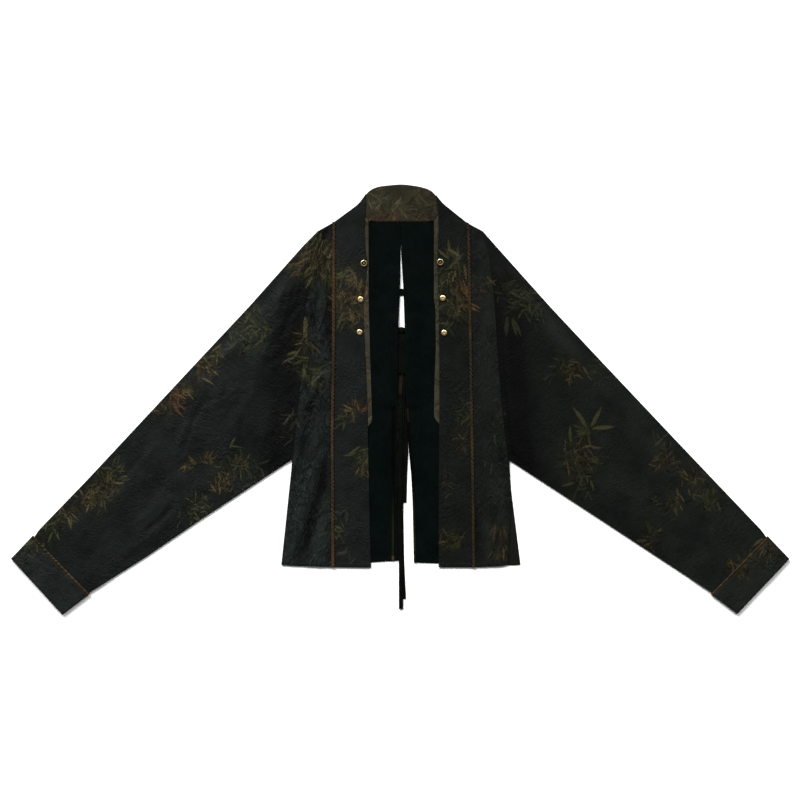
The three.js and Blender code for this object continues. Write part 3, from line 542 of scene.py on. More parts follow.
def trimmed(grid, amount):
    """The same rows with their rim moved in."""
    moved = grid.copy()

    def pull(at, toward):
        way = grid[toward] - grid[at]
        moved[at] += way / np.linalg.norm(way, axis=-1, keepdims=True) * amount

    every = slice(None)
    pull((0, every), (1, every))
    pull((-1, every), (-2, every))
    pull((every, 0), (every, 1))
    pull((every, -1), (every, -2))
    return moved


def flat_at(height):
    """A height function that gives one height everywhere."""
    return lambda x, y, *ring: np.full_like(x, height)


def circle(count):
    """Angles of points spaced evenly round a circle."""
    return np.linspace(0, 2 * np.pi, count, endpoint=False)


def ridges(rows, x, y):
    """Height of a table of folds at points, with x counted outward."""
    rise = np.zeros_like(x)
    for x1, y1, x2, y2, high, wide, bend in rows:
        length = math.hypot(x2 - x1, y2 - y1)
        along = ((x - x1) * (x2 - x1) + (y - y1) * (y2 - y1)) / length
        aside = ((x - x1) * (y2 - y1) - (y - y1) * (x2 - x1)) / length
        aside = aside - bend * np.sin(np.pi * np.clip(along / length, 0, 1))
        fade = 0.3 * length
        ends = smooth(along / fade) * smooth((length - along) / fade)
        rise += high * ends * np.exp(-((aside / wide) ** 2))
    return rise


def crinkles(seed, box, count, heading, high, long, wide):
    """Rows of small folds strewn over a box, near one heading in degrees."""
    rng = np.random.default_rng(seed)
    rows = []
    for _ in range(count):
        x, y = rng.uniform(box[0], box[2]), rng.uniform(box[1], box[3])
        turn = math.radians(heading + rng.normal(0, 16))
        half = rng.uniform(0.6, 1.4) * long / 2
        dx, dy = half * math.cos(turn), half * math.sin(turn)
        rise = high * rng.uniform(0.4, 1.0) * rng.choice([1, 1, -1])
        rows.append((x - dx, y - dy, x + dx, y + dy, rise, wide * rng.uniform(0.8, 1.5), rng.normal(0, 3)))
    return rows


# Meshes.
def facing_out(points, quads):
    """The quads, turned round if they face inward."""
    a, b, c, d = (points[quads[:, k]] for k in range(4))
    volume = (a * np.cross(b, c)).sum() + (a * np.cross(c, d)).sum()
    return quads[:, ::-1] if volume < 0 else quads


def shell(grid, under, thick=WALL, rim=0.5):
    """Thin cloth on a grid of plan points, with a rounded rim.
    Returns its points, its quads and their side: 0 on top and round the rim, 1 below."""
    edge = trimmed(grid, GAP / 2)
    inner = trimmed(grid, GAP / 2 + rim)
    rows, columns = grid.shape[:2]
    low = under(inner[..., 0], inner[..., 1])
    index = np.arange(rows * columns).reshape(rows, columns)
    loop = np.concatenate([index[0, :-1], index[:-1, -1], index[-1, :0:-1], index[:0:-1, 0]])
    flat = inner.reshape(-1, 2)
    z = low.reshape(-1, 1)
    middle = under(edge[..., 0], edge[..., 1]).reshape(-1, 1)[loop] + thick / 2
    points = np.vstack([
        np.hstack([flat, z + thick]),
        np.hstack([flat, z]),
        np.hstack([edge.reshape(-1, 2)[loop], middle]),
    ])
    top = np.stack([index[:-1, :-1], index[:-1, 1:], index[1:, 1:], index[1:, :-1]], -1).reshape(-1, 4)
    below = top[:, ::-1] + rows * columns
    after = np.roll(loop, -1)
    ring = 2 * rows * columns + np.arange(len(loop))
    ring_after = np.roll(ring, -1)
    upper = np.stack([loop, ring, ring_after, after], -1)
    lower = np.stack([ring, loop + rows * columns, after + rows * columns, ring_after], -1)
    quads = np.vstack([top, below, upper, lower])
    side = np.zeros(len(quads), int)
    side[len(top):2 * len(top)] = 1
    return points, facing_out(points, quads), side


def ring_quads(rows, count):
    """The numbers of the points in closed rings, those of their neighbours, and the quads between."""
    index = np.arange(rows * count).reshape(rows, count)
    after = np.roll(index, -1, axis=1)
    return index, after, np.stack([index[:-1], after[:-1], after[1:], index[1:]], -1).reshape(-1, 4)


def tube(outer, inner):
    """A tube with a wall, through outer rings and the inner rings that match them.
    Returns its points, its quads and their side: 0 outside and at the ends, 1 inside."""
    rows, count = outer.shape[:2]
    points = np.vstack([outer.reshape(-1, 3), inner.reshape(-1, 3)])
    index, after, skin = ring_quads(rows, count)
    lining = skin[:, ::-1] + rows * count
    start = np.stack([index[0], index[0] + rows * count, after[0] + rows * count, after[0]], -1)
    end = np.stack([index[-1], after[-1], after[-1] + rows * count, index[-1] + rows * count], -1)
    quads = np.vstack([skin, lining, start, end])
    side = np.zeros(len(quads), int)
    side[len(skin):2 * len(skin)] = 1
    return points, facing_out(points, quads), side


def solid(rings):
    """A solid through a row of closed rings, with its ends drawn in to a small face."""
    ends = [ring.mean(0) + (ring - ring.mean(0)) * 0.02 for ring in (rings[0], rings[-1])]
    rings = np.concatenate([ends[:1], rings, ends[1:]])
    rows, count = rings.shape[:2]
    points = rings.reshape(-1, 3)
    index, _, quads = ring_quads(rows, count)
    lids = [
        (ring[k], ring[count - 1 - k], ring[count - 2 - k], ring[k + 1])
        for ring in (index[0], index[-1][::-1]) for k in range(count // 2 - 1)
    ]
    quads = np.vstack([quads, lids])
    return points, facing_out(points, quads), np.zeros(len(quads), int)


def haze_at(sprays, x, y):
    """The sprays' soft ground at points: how much of it, and its colour."""
    haze, colour = np.zeros_like(x), np.zeros((len(x), 3))
    for spray_x, spray_y, leaf, turn, spread, count, strewn, tone in sprays:
        ahead = 0.35 * leaf * (1 - min(spread, 360) / 360)
        from_x = x - spray_x - ahead * math.cos(math.radians(turn))
        from_y = y - spray_y - ahead * math.sin(math.radians(turn))
        wide = 0.5 * leaf + 0.5 * strewn
        own = min(count / FULL_HAZE, 1.0) * np.exp(-(from_x ** 2 + from_y ** 2) / wide ** 2)
        haze += own
        # the right side's ground is darker too: painted shade
        colour += own[:, None] * linear(TONES[tone][0]) * (1.0 if spray_x < 0 else RIGHT_SHADE)
    return np.clip(haze, 0, 1), colour / np.maximum(haze, 1e-6)[:, None]


def put(name, data):
    """A new object in the scene."""
    item = bpy.data.objects.new(name, data)
    bpy.context.scene.collection.objects.link(item)
    return item


def finish(item, node=None):
    """Attaches a finished piece to the root body, and hides the imported part that it stands for."""
    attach(item, "root")
    if node:
        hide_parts(node)
    return item


def make(name, body, finishes, node, grain=0.0, motif=None, shade_and_tone=None):
    """A piece of the jacket from points, quads and sides. grain turns the weave, in degrees,
    motif is the table of leaves that its outer side carries, and shade_and_tone how light it is where:
    painted light and shade of its folds, hollows and twists, and its tone."""
    points, quads, side = body
    mesh = bpy.data.meshes.new(name)
    mesh.vertices.add(len(points))
    mesh.vertices.foreach_set("co", (points * MM).ravel())
    mesh.loops.add(quads.size)
    mesh.loops.foreach_set("vertex_index", quads.ravel())
    mesh.polygons.add(len(quads))
    mesh.polygons.foreach_set("loop_start", np.arange(0, quads.size, 4))
    mesh.update(calc_edges=True)
    mesh.polygons.foreach_set("use_smooth", np.ones(len(quads), bool))
    for look in finishes:
        mesh.materials.append(look)
    mesh.polygons.foreach_set("material_index", np.minimum(side, len(finishes) - 1))
    turn = math.radians(grain)
    flat = points[:, :2] @ np.array([[math.cos(turn), math.sin(turn)], [-math.sin(turn), math.cos(turn)]])
    cut = mesh.uv_layers.new(name="cut")
    cut.data.foreach_set("uv", (flat[quads.ravel()] * MM).ravel())
    if shade_and_tone is not None:
        shade = shade_and_tone(points[:, 0], points[:, 1]).astype(np.float32)
        mesh.attributes.new("shade_and_tone", "FLOAT", "POINT").data.foreach_set("value", shade)
    if motif is not None:
        sprays, leaves = motif
        draw_motif(mesh, points, quads, side, leaves)
        haze, colour = haze_at(sprays, points[:, 0], points[:, 1])
        tinted = mesh.color_attributes.new(name="haze", type="FLOAT_COLOR", domain="POINT")
        tinted.data.foreach_set("color", np.column_stack([colour, haze]).ravel())
    mesh.update()
    return finish(put(name, mesh), node)


def draw_motif(mesh, points, quads, side, leaves):
    """Stores, for the leaves nearest to each face, the face's place on each leaf and its colour."""
    outside = np.flatnonzero(side == 0)
    centres = points[quads[outside]].mean(axis=1)[:, :2]
    by_x = np.argsort(centres[:, 0])
    outside, centres = outside[by_x], centres[by_x]
    feet, ways, lengths, halves, colours, tips = (np.array(column) for column in zip(*leaves))
    faces, numbers, reaches = [], [], []
    for number, (foot, way, length, half, _, _) in enumerate(leaves):
        first, last = np.searchsorted(centres[:, 0], (foot[0] - length - 6, foot[0] + length + 6))
        away = centres[first:last] - foot
        along = away @ way
        aside = np.abs(away @ (-way[1], way[0]))
        hit = (along > -3) & (along < length + 3) & (aside < half + 2.6)
        faces.append(outside[first:last][hit])
        numbers.append(np.full(hit.sum(), number))
        reaches.append(aside[hit] / half)
    faces, numbers, reaches = (np.concatenate(column) for column in (faces, numbers, reaches))
    order = np.lexsort((reaches, faces))
    faces, numbers = faces[order], numbers[order]
    rank = np.arange(len(faces)) - np.searchsorted(faces, faces)
    corners = points[quads][..., :2]
    for layer, name in enumerate(LEAF_LAYERS):
        face, pick = faces[rank == layer], numbers[rank == layer]
        place = np.full((len(quads), 4, 2), -4.0)
        tint = np.zeros((len(quads), 4, 4))
        away = corners[face] - feet[pick][:, None]
        way = ways[pick][:, None]
        along = (away * way).sum(-1) / lengths[pick][:, None]
        aside = (away[..., 1] * way[..., 0] - away[..., 0] * way[..., 1]) / halves[pick][:, None]
        place[face] = np.stack([along, aside], -1)
        blend = smooth((along - 0.3) / 0.7)[..., None]
        tint[face, :, :3] = colours[pick][:, None] * (1 - blend) + tips[pick][:, None] * blend
        tint[face, :, 3] = ((pick * 0.618) % 1)[:, None]
        uv = mesh.uv_layers.new(name=name)
        uv.data.foreach_set("uv", place.ravel())
        colour = mesh.color_attributes.new(name=name + "_tint", type="FLOAT_COLOR", domain="CORNER")
        colour.data.foreach_set("color", tint.ravel())


def leaves_of(sprays, stalks, seed):
    """Every leaf of a table of sprays: foot, direction, length, half width, colour and tip."""
    rng = np.random.default_rng(seed)
    leaves = []

    def add(foot, heading, length, half, tone, lone=False):
        turn = math.radians(heading)
        way = np.array([math.cos(turn), math.sin(turn)])
        drawn = 0.12 + 1.9 * rng.uniform() ** 2.2
        bright = (LONE_BRIGHT if lone else drawn) * (LEFT_SHADE if foot[0] < 0 else RIGHT_SHADE)
        own, tip = (linear(colour) * bright for colour in TONES[tone])
        leaves.append((np.array(foot, float), way, length, half, own, tip))

    for x, y, leaf, turn, spread, count, strewn, tone in sprays:
        lone = count <= LONE_LEAVES
        total = round(count * THICKENED) if count > FEW_LEAVES else count
        for k in range(total):
            share = k / (total - 1) - 0.5 if total > 1 else 0.0
            heading = turn + spread * share + rng.normal(0, 9)
            foot = (x + rng.normal(0, strewn / 2), y + rng.normal(0, strewn / 2))
            length = leaf * (1.0 if lone else rng.uniform(0.5, 1.12))
            half = 0.6 + length * (LONE_WIDE if lone else rng.uniform(0.07, 0.14))
            add(foot, heading, length, half, tone, lone)
    for x1, y1, x2, y2, tone in stalks:
        length = math.hypot(x2 - x1, y2 - y1)
        add((x1, y1), math.degrees(math.atan2(y2 - y1, x2 - x1)), length, STALK_HALF, tone)
    return leaves


def strewn_sprays(seed, box, count, leaf, tones):
    """Sprays spread over a box, each in one of the tones."""
    rng = np.random.default_rng(seed)
    rows = []
    for _ in range(count):
        x, y = rng.uniform(box[0], box[2]), rng.uniform(box[1], box[3])
        rows.append((x, y, leaf * rng.uniform(0.8, 1.2), rng.uniform(0, 360), rng.uniform(90, 240),
                     int(rng.integers(4, 9)), leaf * 0.3, tones[int(rng.integers(len(tones)))]))
    return rows


# Materials.
class Nodes:
    """Short ways to lay out a node tree."""

    def __init__(self, tree):
        self.tree = tree

    def fill(self, node, inputs):
        """Sets a node's inputs, or links those whose value is another node's output."""
        for key, value in inputs.items():
            if isinstance(value, bpy.types.NodeSocket):
                self.tree.links.new(value, node.inputs[key])
            else:
                node.inputs[key].default_value = value
        return node

    def add(self, kind, inputs=(), **settings):
        node = self.tree.nodes.new(kind)
        for key, value in settings.items():
            setattr(node, key, value)
        return self.fill(node, dict(inputs))

    def math(self, operation, a, b=0.0, c=0.0, clamp=False):
        inputs = {0: a, 1: b, 2: c}
        return self.add("ShaderNodeMath", inputs, operation=operation, use_clamp=clamp).outputs[0]

    def plus(self, a, b):
        return self.math("ADD", a, b)

    def less(self, a, b, clamp=False):
        return self.math("SUBTRACT", a, b, clamp=clamp)

    def times(self, a, b):
        return self.math("MULTIPLY", a, b)

    def power(self, a, b):
        return self.math("POWER", a, b)

    def ramp(self, value, low, high, out_low=0.0, out_high=1.0, soft=True):
        kind = "SMOOTHSTEP" if soft else "LINEAR"
        inputs = {0: value, 1: low, 2: high, 3: out_low, 4: out_high}
        return self.add("ShaderNodeMapRange", inputs, interpolation_type=kind, clamp=True).outputs[0]

    def mix(self, factor, a, b, blend="MIX"):
        inputs = {0: factor, 6: a, 7: b}
        return self.add("ShaderNodeMix", inputs, data_type="RGBA", blend_type=blend).outputs[2]

    def shaded(self, colour, value):
        """The colour made lighter or darker by a value."""
        grey = self.add("ShaderNodeCombineColor", {0: value, 1: value, 2: value}).outputs[0]
        return self.mix(1.0, colour, grey, "MULTIPLY")

    def noise(self, vector, scale, detail=3.0, rough=0.55, distortion=0.0):
        return self.add("ShaderNodeTexNoise", {
            "Vector": vector, "Scale": scale, "Detail": detail, "Roughness": rough, "Distortion": distortion,
        }).outputs[0]

    def stretched(self, vector, across, along):
        """The vector with its two directions scaled apart."""
        return self.add("ShaderNodeMapping", {"Vector": vector, "Scale": (across, along, 1.0)}).outputs[0]

    def bump(self, height, distance, strength=1.0, **under):
        """The surface's normal with a bump, over the one that Normal gives."""
        inputs = {"Strength": strength, "Distance": distance, "Height": height, **under}
        return self.add("ShaderNodeBump", inputs).outputs[0]

    def attribute(self, name):
        return self.add("ShaderNodeAttribute", attribute_name=name).outputs

    def use(self, tree, **inputs):
        """The outputs of a node group."""
        return self.add("ShaderNodeGroup", inputs, node_tree=tree).outputs

    def place(self):
        return self.add("ShaderNodeTexCoord").outputs["Object"]


def group(name, inputs, outputs):
    """A shader node group, its nodes, what it is given and its end. An input is a vector where
    its default is None."""
    tree = bpy.data.node_groups.new(name, "ShaderNodeTree")
    for label, value in inputs.items():
        kind = "NodeSocketVector" if value is None else "NodeSocketFloat"
        socket = tree.interface.new_socket(label, in_out="INPUT", socket_type=kind)
        if value is not None:
            socket.default_value = value
    for label in outputs:
        tree.interface.new_socket(label, in_out="OUTPUT", socket_type="NodeSocketFloat")
    nodes = Nodes(tree)
    return tree, nodes, nodes.add("NodeGroupInput").outputs, nodes.add("NodeGroupOutput")


def weave_group():
    """Plain weave: warp and weft that pass over and under each other, with uneven threads."""
    tree, n, given, end = group(
        "plain weave", {"Vector": None, "Threads": 2200.0, "Slub": 0.5}, ["Height", "Thread"])
    split = n.add("ShaderNodeSeparateXYZ", inputs={0: given["Vector"]}).outputs
    rate = n.times(given["Threads"], math.pi)
    across = n.times(split[0], rate)
    along = n.times(split[1], rate)
    warp = n.math("ABSOLUTE", n.math("COSINE", across))
    weft = n.math("ABSOLUTE", n.math("COSINE", along))
    over = n.times(n.math("SINE", across), n.math("SINE", along))
    chosen = n.ramp(over, -0.25, 0.25)
    height = n.plus(n.times(warp, chosen), n.times(weft, n.less(1.0, chosen)))
    rows = n.noise(n.stretched(given["Vector"], 60.0, 1400.0), 1.0, 2.0)
    columns = n.noise(n.stretched(given["Vector"], 1400.0, 60.0), 1.0, 2.0)
    uneven = n.times(n.less(n.plus(rows, columns), 1.0), given["Slub"])
    n.fill(end, {"Height": n.plus(height, uneven), "Thread": n.plus(0.5, uneven)})
    return tree


def crinkle_group():
    """Fine dry creases in the cloth, longer along the grain than across it."""
    tree, n, given, end = group(
        "fine crinkle", {"Vector": None, "Scale": 60.0, "Stretch": 0.3}, ["Height", "Lines"])
    size = n.add("ShaderNodeCombineXYZ", {0: 1.0, 1: given["Stretch"], 2: 1.0}).outputs[0]
    place = n.add("ShaderNodeVectorMath", {0: given["Vector"], 1: size}, operation="MULTIPLY").outputs[0]

    def creased(share, distortion):
        value = n.noise(place, n.times(given["Scale"], share), 2.0, 0.5, distortion)
        return n.less(1.0, n.math("ABSOLUTE", n.math("MULTIPLY_ADD", value, 4.0, -2.0)), clamp=True)

    long_ones = creased(1.0, 1.2)
    short_ones = creased(2.4, 0.8)
    patchy = n.ramp(n.noise(given["Vector"], 14.0, 2.0), 0.35, 0.65, 0.35, 1.0)
    height = n.plus(n.power(long_ones, 2.0), n.times(n.power(short_ones, 2.0), 0.45))
    height = n.times(height, patchy)
    height = n.plus(height, n.noise(place, n.times(given["Scale"], 0.5), 3.0, 0.6))
    n.fill(end, {"Height": height, "Lines": n.times(n.power(short_ones, 5.0), patchy)})
    return tree


def leaf_group():
    """A long pointed leaf on its own coordinates: u from foot to tip, v across."""
    tree, n, given, end = group("bamboo leaf", {"Place": None, "Cut": None, "Own": 0.5}, ["Leaf", "Vein"])
    split = n.add("ShaderNodeSeparateXYZ", inputs={0: given["Place"]}).outputs
    u = n.math("MINIMUM", n.math("MAXIMUM", split[0], 0.0), 1.0)
    bend = n.times(n.less(given["Own"], 0.5), 2.2)
    arch = n.times(bend, n.times(u, n.less(1.0, u)))
    v = n.math("ABSOLUTE", n.plus(split[1], arch))
    wide = n.times(n.power(u, 0.62), n.power(n.less(1.0, u), 0.95))
    wide = n.times(wide, 1.95)
    ragged = n.noise(n.stretched(given["Cut"], 700.0, 260.0), 1.0, 2.0)
    inside = n.less(n.plus(wide, n.times(n.less(ragged, 0.5), 0.6)), v)
    leaf = n.times(n.ramp(inside, 0.0, 0.22), n.math("GREATER_THAN", wide, 0.02))
    dry = n.noise(n.stretched(given["Cut"], 260.0, 520.0), 1.0, 3.0)
    leaf = n.times(leaf, n.ramp(dry, 0.34, 0.6, 0.3, 1.0))
    n.fill(end, {"Leaf": leaf, "Vein": n.times(n.ramp(v, 0.06, 0.2, 1.0, 0.0), leaf)})
    return tree


WEAVE = weave_group()
CRINKLE = crinkle_group()
LEAF = leaf_group()


def start_material(name):
    material = bpy.data.materials.new(name)
    material.use_nodes = True
    material.node_tree.nodes.clear()
    nodes = Nodes(material.node_tree)
    shader = nodes.add("ShaderNodeBsdfPrincipled")
    end = nodes.add("ShaderNodeOutputMaterial")
    material.node_tree.links.new(shader.outputs[0], end.inputs[0])
    return material, nodes, shader


def rgba(rgb, share=1.0):
    return (*(linear(rgb) * share), 1.0)


CLOTH_ROUGH = 0.58
WEAVE_DEPTH = 0.00003


def cloth(name, own, worn, threads=2200.0, crinkle=0.0, crinkle_scale=60.0, motif=0.0, specular=0.07,
          slub=0.6, fade=0.5, lines=0.3, stretch=0.6):
    """Woven cloth. own and worn are its two colours, motif how strongly it shows leaves, fade
    how far the painted light and shade of its folds, and its tone, lighten and darken it, and lines how pale
    the painted highlight on its finest creases is."""
    material, n, shader = start_material(name)
    cut = n.add("ShaderNodeUVMap", uv_map="cut").outputs[0]
    woven = n.use(WEAVE, Vector=cut, Threads=threads, Slub=slub)
    creased = n.use(CRINKLE, Vector=cut, Scale=crinkle_scale, Stretch=stretch)
    broad = n.noise(cut, 22.0, 4.0, 0.6)
    colour = n.mix(n.ramp(broad, 0.3, 0.7), rgba(own, 0.85), rgba(worn))
    colour = n.shaded(colour, n.ramp(woven["Thread"], 0.1, 0.9, 0.75, 1.25, soft=False))
    # painted highlight along the finest creases
    if crinkle:
        colour = n.mix(n.times(creased["Lines"], lines), colour, rgba(worn, 2.4))
    # painted light and shade of folds, hollows and twists, with some tone
    shade_and_tone = n.attribute("shade_and_tone")["Fac"]
    colour = n.shaded(colour, n.ramp(shade_and_tone, -1.0, 1.0, 1.0 - fade, 1.0 + fade, soft=False))
    if motif:
        haze = n.attribute("haze")
        streaks = n.ramp(n.noise(n.stretched(cut, 230.0, 230.0), 1.0, 4.0, 0.6, 0.8), 0.42, 0.66)
        colour = n.mix(n.times(haze["Alpha"], n.times(streaks, 0.4)), colour, haze["Color"])
        for layer in reversed(LEAF_LAYERS):
            place = n.add("ShaderNodeUVMap", uv_map=layer).outputs[0]
            tint = n.attribute(layer + "_tint")
            leaf = n.use(LEAF, Place=place, Cut=cut, Own=tint["Alpha"])
            colour = n.mix(n.times(leaf["Leaf"], motif), colour, tint["Color"])
            colour = n.mix(n.times(leaf["Vein"], 0.35), colour, rgba(own))
    normal = n.bump(woven["Height"], WEAVE_DEPTH)
    if crinkle:
        normal = n.bump(creased["Height"], crinkle * MM, Normal=normal)
    roughness = n.ramp(broad, 0.2, 0.8, CLOTH_ROUGH - 0.06, CLOTH_ROUGH + 0.08)
    n.fill(shader, {
        "Base Color": colour, "Roughness": roughness, "Normal": normal, "Specular IOR Level": specular,
    })
    return material


def metal_finish(name, pale, dark):
    material, n, shader = start_material(name)
    fine, broad = n.noise(n.place(), 2600.0, 3.0, 0.6), n.noise(n.place(), 420.0, 2.0, 0.5)
    n.fill(shader, {
        "Base Color": n.mix(n.ramp(broad, 0.35, 0.7), rgba(pale), rgba(dark)), "Metallic": 1.0,
        "Roughness": n.ramp(fine, 0.2, 0.8, 0.24, 0.46), "Normal": n.bump(fine, 0.00002),
    })
    return material


def thread_finish(name, own):
    material, n, shader = start_material(name)
    broad = n.noise(n.place(), 900.0, 2.0)
    n.fill(shader, {
        "Base Color": n.mix(broad, rgba(own), rgba(own, 1.7)), "Roughness": 0.6, "Specular IOR Level": 0.25,
        "Normal": n.bump(broad, 0.00005, 0.6),
    })
    return material


def floor_finish():
    material, n, shader = start_material("pale floor")
    colour = n.mix(n.noise(n.place(), 3.0, 2.0), (0.93, 0.93, 0.93, 1), (0.96, 0.96, 0.96, 1))
    n.fill(shader, {"Base Color": colour, "Roughness": 0.9, "Specular IOR Level": 0.1})
    return material


def silk(place, colours, crinkle, scale, specular, lines=0.3, stretch=0.6):
    """The black silk of the outside, which is more crinkled in some places than in others."""
    return cloth("black crinkled silk, " + place, *colours, crinkle=crinkle, crinkle_scale=scale, motif=1.0,
                 specular=specular, fade=0.8, lines=lines, stretch=stretch)


# The right half's silks and cuff are darker copies of the left's: painted shade.
LEFT_BLACK = ((8, 11, 10), (13, 17, 16))
RIGHT_BLACK = ((7, 10, 8), (12, 14, 12))
SILKS = {
    "left": {
        "band": silk("left band", LEFT_BLACK, 0.6, 110.0, 0.07),
        "sleeve": silk("left sleeve", LEFT_BLACK, 0.7, 90.0, 0.065),
        "cuff": silk("left cuff", ((13, 16, 14), (20, 24, 22)), 0.9, 90.0, 0.07),
        "front": silk("left front", LEFT_BLACK, 1.7, 75.0, 0.055, lines=0.7, stretch=0.35),
    },
    "right": {
        "band": silk("right band", RIGHT_BLACK, 0.7, 100.0, 0.05),
        "sleeve": silk("right sleeve", RIGHT_BLACK, 0.4, 80.0, 0.05),
        "cuff": silk("right cuff", ((12, 15, 12), (18, 20, 17)), 0.6, 80.0, 0.06),
        "front": silk("right front", RIGHT_BLACK, 1.0, 85.0, 0.065, stretch=0.35),
    },
}
BIAS = {"threads": 1500.0, "crinkle": 0.25, "crinkle_scale": 160.0, "slub": 0.9}
RIBBON = {"crinkle": 0.25, "crinkle_scale": 120.0, "specular": 0.025}
PATTERNED = {"threads": 1500.0, "crinkle": 0.12, "crinkle_scale": 90.0, "fade": 0.2}
SIDE_FACING = cloth("black silk of the side facing", (10, 12, 8), (14, 16, 11), crinkle=0.3,
                    crinkle_scale=110.0)
INSIDE = cloth("smooth inside of the back", (1, 5, 4), (3, 7, 6), crinkle=0.06, crinkle_scale=40.0,
               specular=0.02)
REVERSE = cloth("brown reverse of the silk", (48, 37, 26), (56, 43, 30), crinkle=0.2, crinkle_scale=60.0)
JACQUARD = cloth("olive jacquard of the collar", (25, 24, 14), (34, 32, 20), motif=0.7, **PATTERNED)
STRIP_JACQUARD = cloth("gold jacquard of the facings", (36, 35, 27), (45, 44, 35), motif=1.0, **PATTERNED)
# The right brown is a darker copy of the left: painted shade.
BROWN = {
    "left": cloth("brown bias cloth, left", (32, 24, 13), (50, 36, 20), fade=0.95, **BIAS),
    "right": cloth("brown bias cloth, right", (23, 19, 11), (40, 30, 16), fade=0.95, **BIAS),
}
OLIVE = cloth("olive bias cloth", (9, 10, 4), (17, 17, 8), fade=0.95, specular=0.02, **BIAS)
TIE_CLOTH = cloth("black ribbon of the ties", (2, 3, 2), (6, 7, 4), **RIBBON)
TIE_REVERSE = cloth("brown reverse of the ties", (16, 14, 5), (24, 20, 8), **RIBBON)
BRASS = metal_finish("brass of the snaps", (226, 206, 158), (190, 160, 106))
SHADED_METAL = metal_finish("painted shade on the sockets' brass", (46, 40, 30), (24, 21, 16))
DARK_THREAD = thread_finish("dark thread", (28, 28, 26))
BROWN_THREAD = thread_finish("brown thread", (60, 48, 34))


# Heights of each kind of piece.
def back_height(half, x, y):
    from_slit = half["sign"] * x - edge_at(half["slit"], y)
    over_bow = smooth((y + 34) / 28) * smooth((178 - y) / 38)
    over_tie = smooth((y + 160) / 60) * smooth((255 - y) / 30)
    lift = np.maximum(SLIT_LIFT * over_bow, SLIT_REST * over_tie)
    return lift * (1 - smooth((from_slit - SLIT_FLAT) / SLIT_FADE))


def front_height(half, folds, x, y):
    out = half["sign"] * x
    fold = edge_at(half["fold"], y)
    arm = edge_at(half["arm"], y)
    beside = smooth((y + 150) / 38)
    over = WALL + SLEEVE_HOLLOW + WALL + GAP - LAYER
    rise = over * smooth((out - arm + 16) / 13) * beside
    roll = 0.8 * np.exp(-(((fold - out - 10) / 8) ** 2)) * beside
    free = smooth((fold - out) / 6) * smooth((out - edge_at(half["piping"], y)) / 10)
    soft = ridges(folds, out, y) * free * (1 - smooth((out - arm + 30) / 16) * beside * 0.7)
    return LAYER + rise + roll + np.maximum(soft, DEEPEST)


def band_height(half, x, y, folds=()):
    out = half["sign"] * x
    inside = out - edge_at(half["band_edge"], y)
    down = smooth((inside - FACING_MARGIN - 2) / 18)
    beside = smooth((y + 92) / 26)
    height = LAYER + LAYER * (1 - down) * beside
    if folds:
        free = smooth(inside / 14) * smooth((edge_at(half["piping"], y) - out - 3) / 10)
        for snap_x, snap_y, _ in half["snaps"]:
            free = free * (1 - np.exp(-(((out - snap_x) ** 2 + (y - snap_y) ** 2) / 160)))
        height = height + np.maximum(ridges(folds, out, y), DEEPEST) * free
    return height


def sleeve_lift(along):
    return CUFF_LIFT * smooth((along - 0.82) / 0.1)


def twist_at(run):
    """How far the piping has turned after a run."""
    return run * 2 * math.pi / PIPING_TWIST


def twisted(run):
    """The painted light and shade of the piping's turns along its run, uneven in width and strength."""
    turns = np.sin(twist_at(run) + 1.6 * np.sin(run / 13) + 0.9 * np.sin(run / 5.3))
    strength = 0.45 + 0.3 * np.sin(run / 29 + 0.8)
    flecks = np.sin(run * 1.31 + 2 * np.sin(run / 7)) * np.sin(run * 0.47 + 1.3)
    return np.clip(turns * strength + 0.6 * flecks + 0.25 * np.sin(run / 41), -1, 1)


def flat_rings(grid, low_at, high_at, thick, top_count, low_count, roll=1.6):
    """Rings of a flattened tube with rolled edges: the rows run from under edge to over edge."""
    arc = np.radians([-65, -35, 0, 35, 65])
    outer, inner = [], []
    for j, row in enumerate(grid):
        width = length_of(row[[0, -1]])
        own = np.linspace(0, 1, len(row))
        for rings, inset, depth in ((outer, 0.0, 0.0), (inner, thick, thick)):
            soft = (inset + roll) / width
            low_share = np.linspace(soft, 1 - soft, low_count)
            top_share = np.linspace(1 - soft, soft, top_count)
            curl = (inset + (roll * 0.8) * (1 - np.cos(arc))) / width
            share = np.concatenate([low_share, 1 - curl, top_share, curl])
            level = np.concatenate([-np.ones(low_count), np.sin(arc), np.ones(top_count), -np.sin(arc)])
            x, y = (np.interp(share, own, row[:, k]) for k in (0, 1))
            low = low_at(x, y, j, share, width) + depth
            high = high_at(x, y, j, share, width) - depth
            z = (low + high) / 2 + level * (high - low) / 2
            rings.append(np.column_stack([x, y, z]))
    return np.array(outer), np.array(inner)


def strap_rings(line, width, thick, wall=0.3, points=16):
    """Rings of a pressed tube of cloth along a line of (x, y, z), level across."""
    way = np.gradient(line[:, :2], axis=0)
    way /= np.linalg.norm(way, axis=1, keepdims=True)
    aside = np.column_stack([-way[:, 1], way[:, 0]])
    angle = circle(points) + np.pi / points
    rings = []
    for inset in (0.0, wall):
        a = np.sign(np.cos(angle)) * np.abs(np.cos(angle)) ** 0.35 * (width / 2 - inset)
        b = np.sign(np.sin(angle)) * np.abs(np.sin(angle)) ** 0.6 * (thick / 2 - inset)
        plan = line[:, None, :2] + aside[:, None] * a[None, :, None]
        z = line[:, None, 2] + thick / 2 + b[None]
        rings.append(np.concatenate([plan, np.broadcast_to(z[..., None], (*z.shape, 1))], axis=2))
    return rings


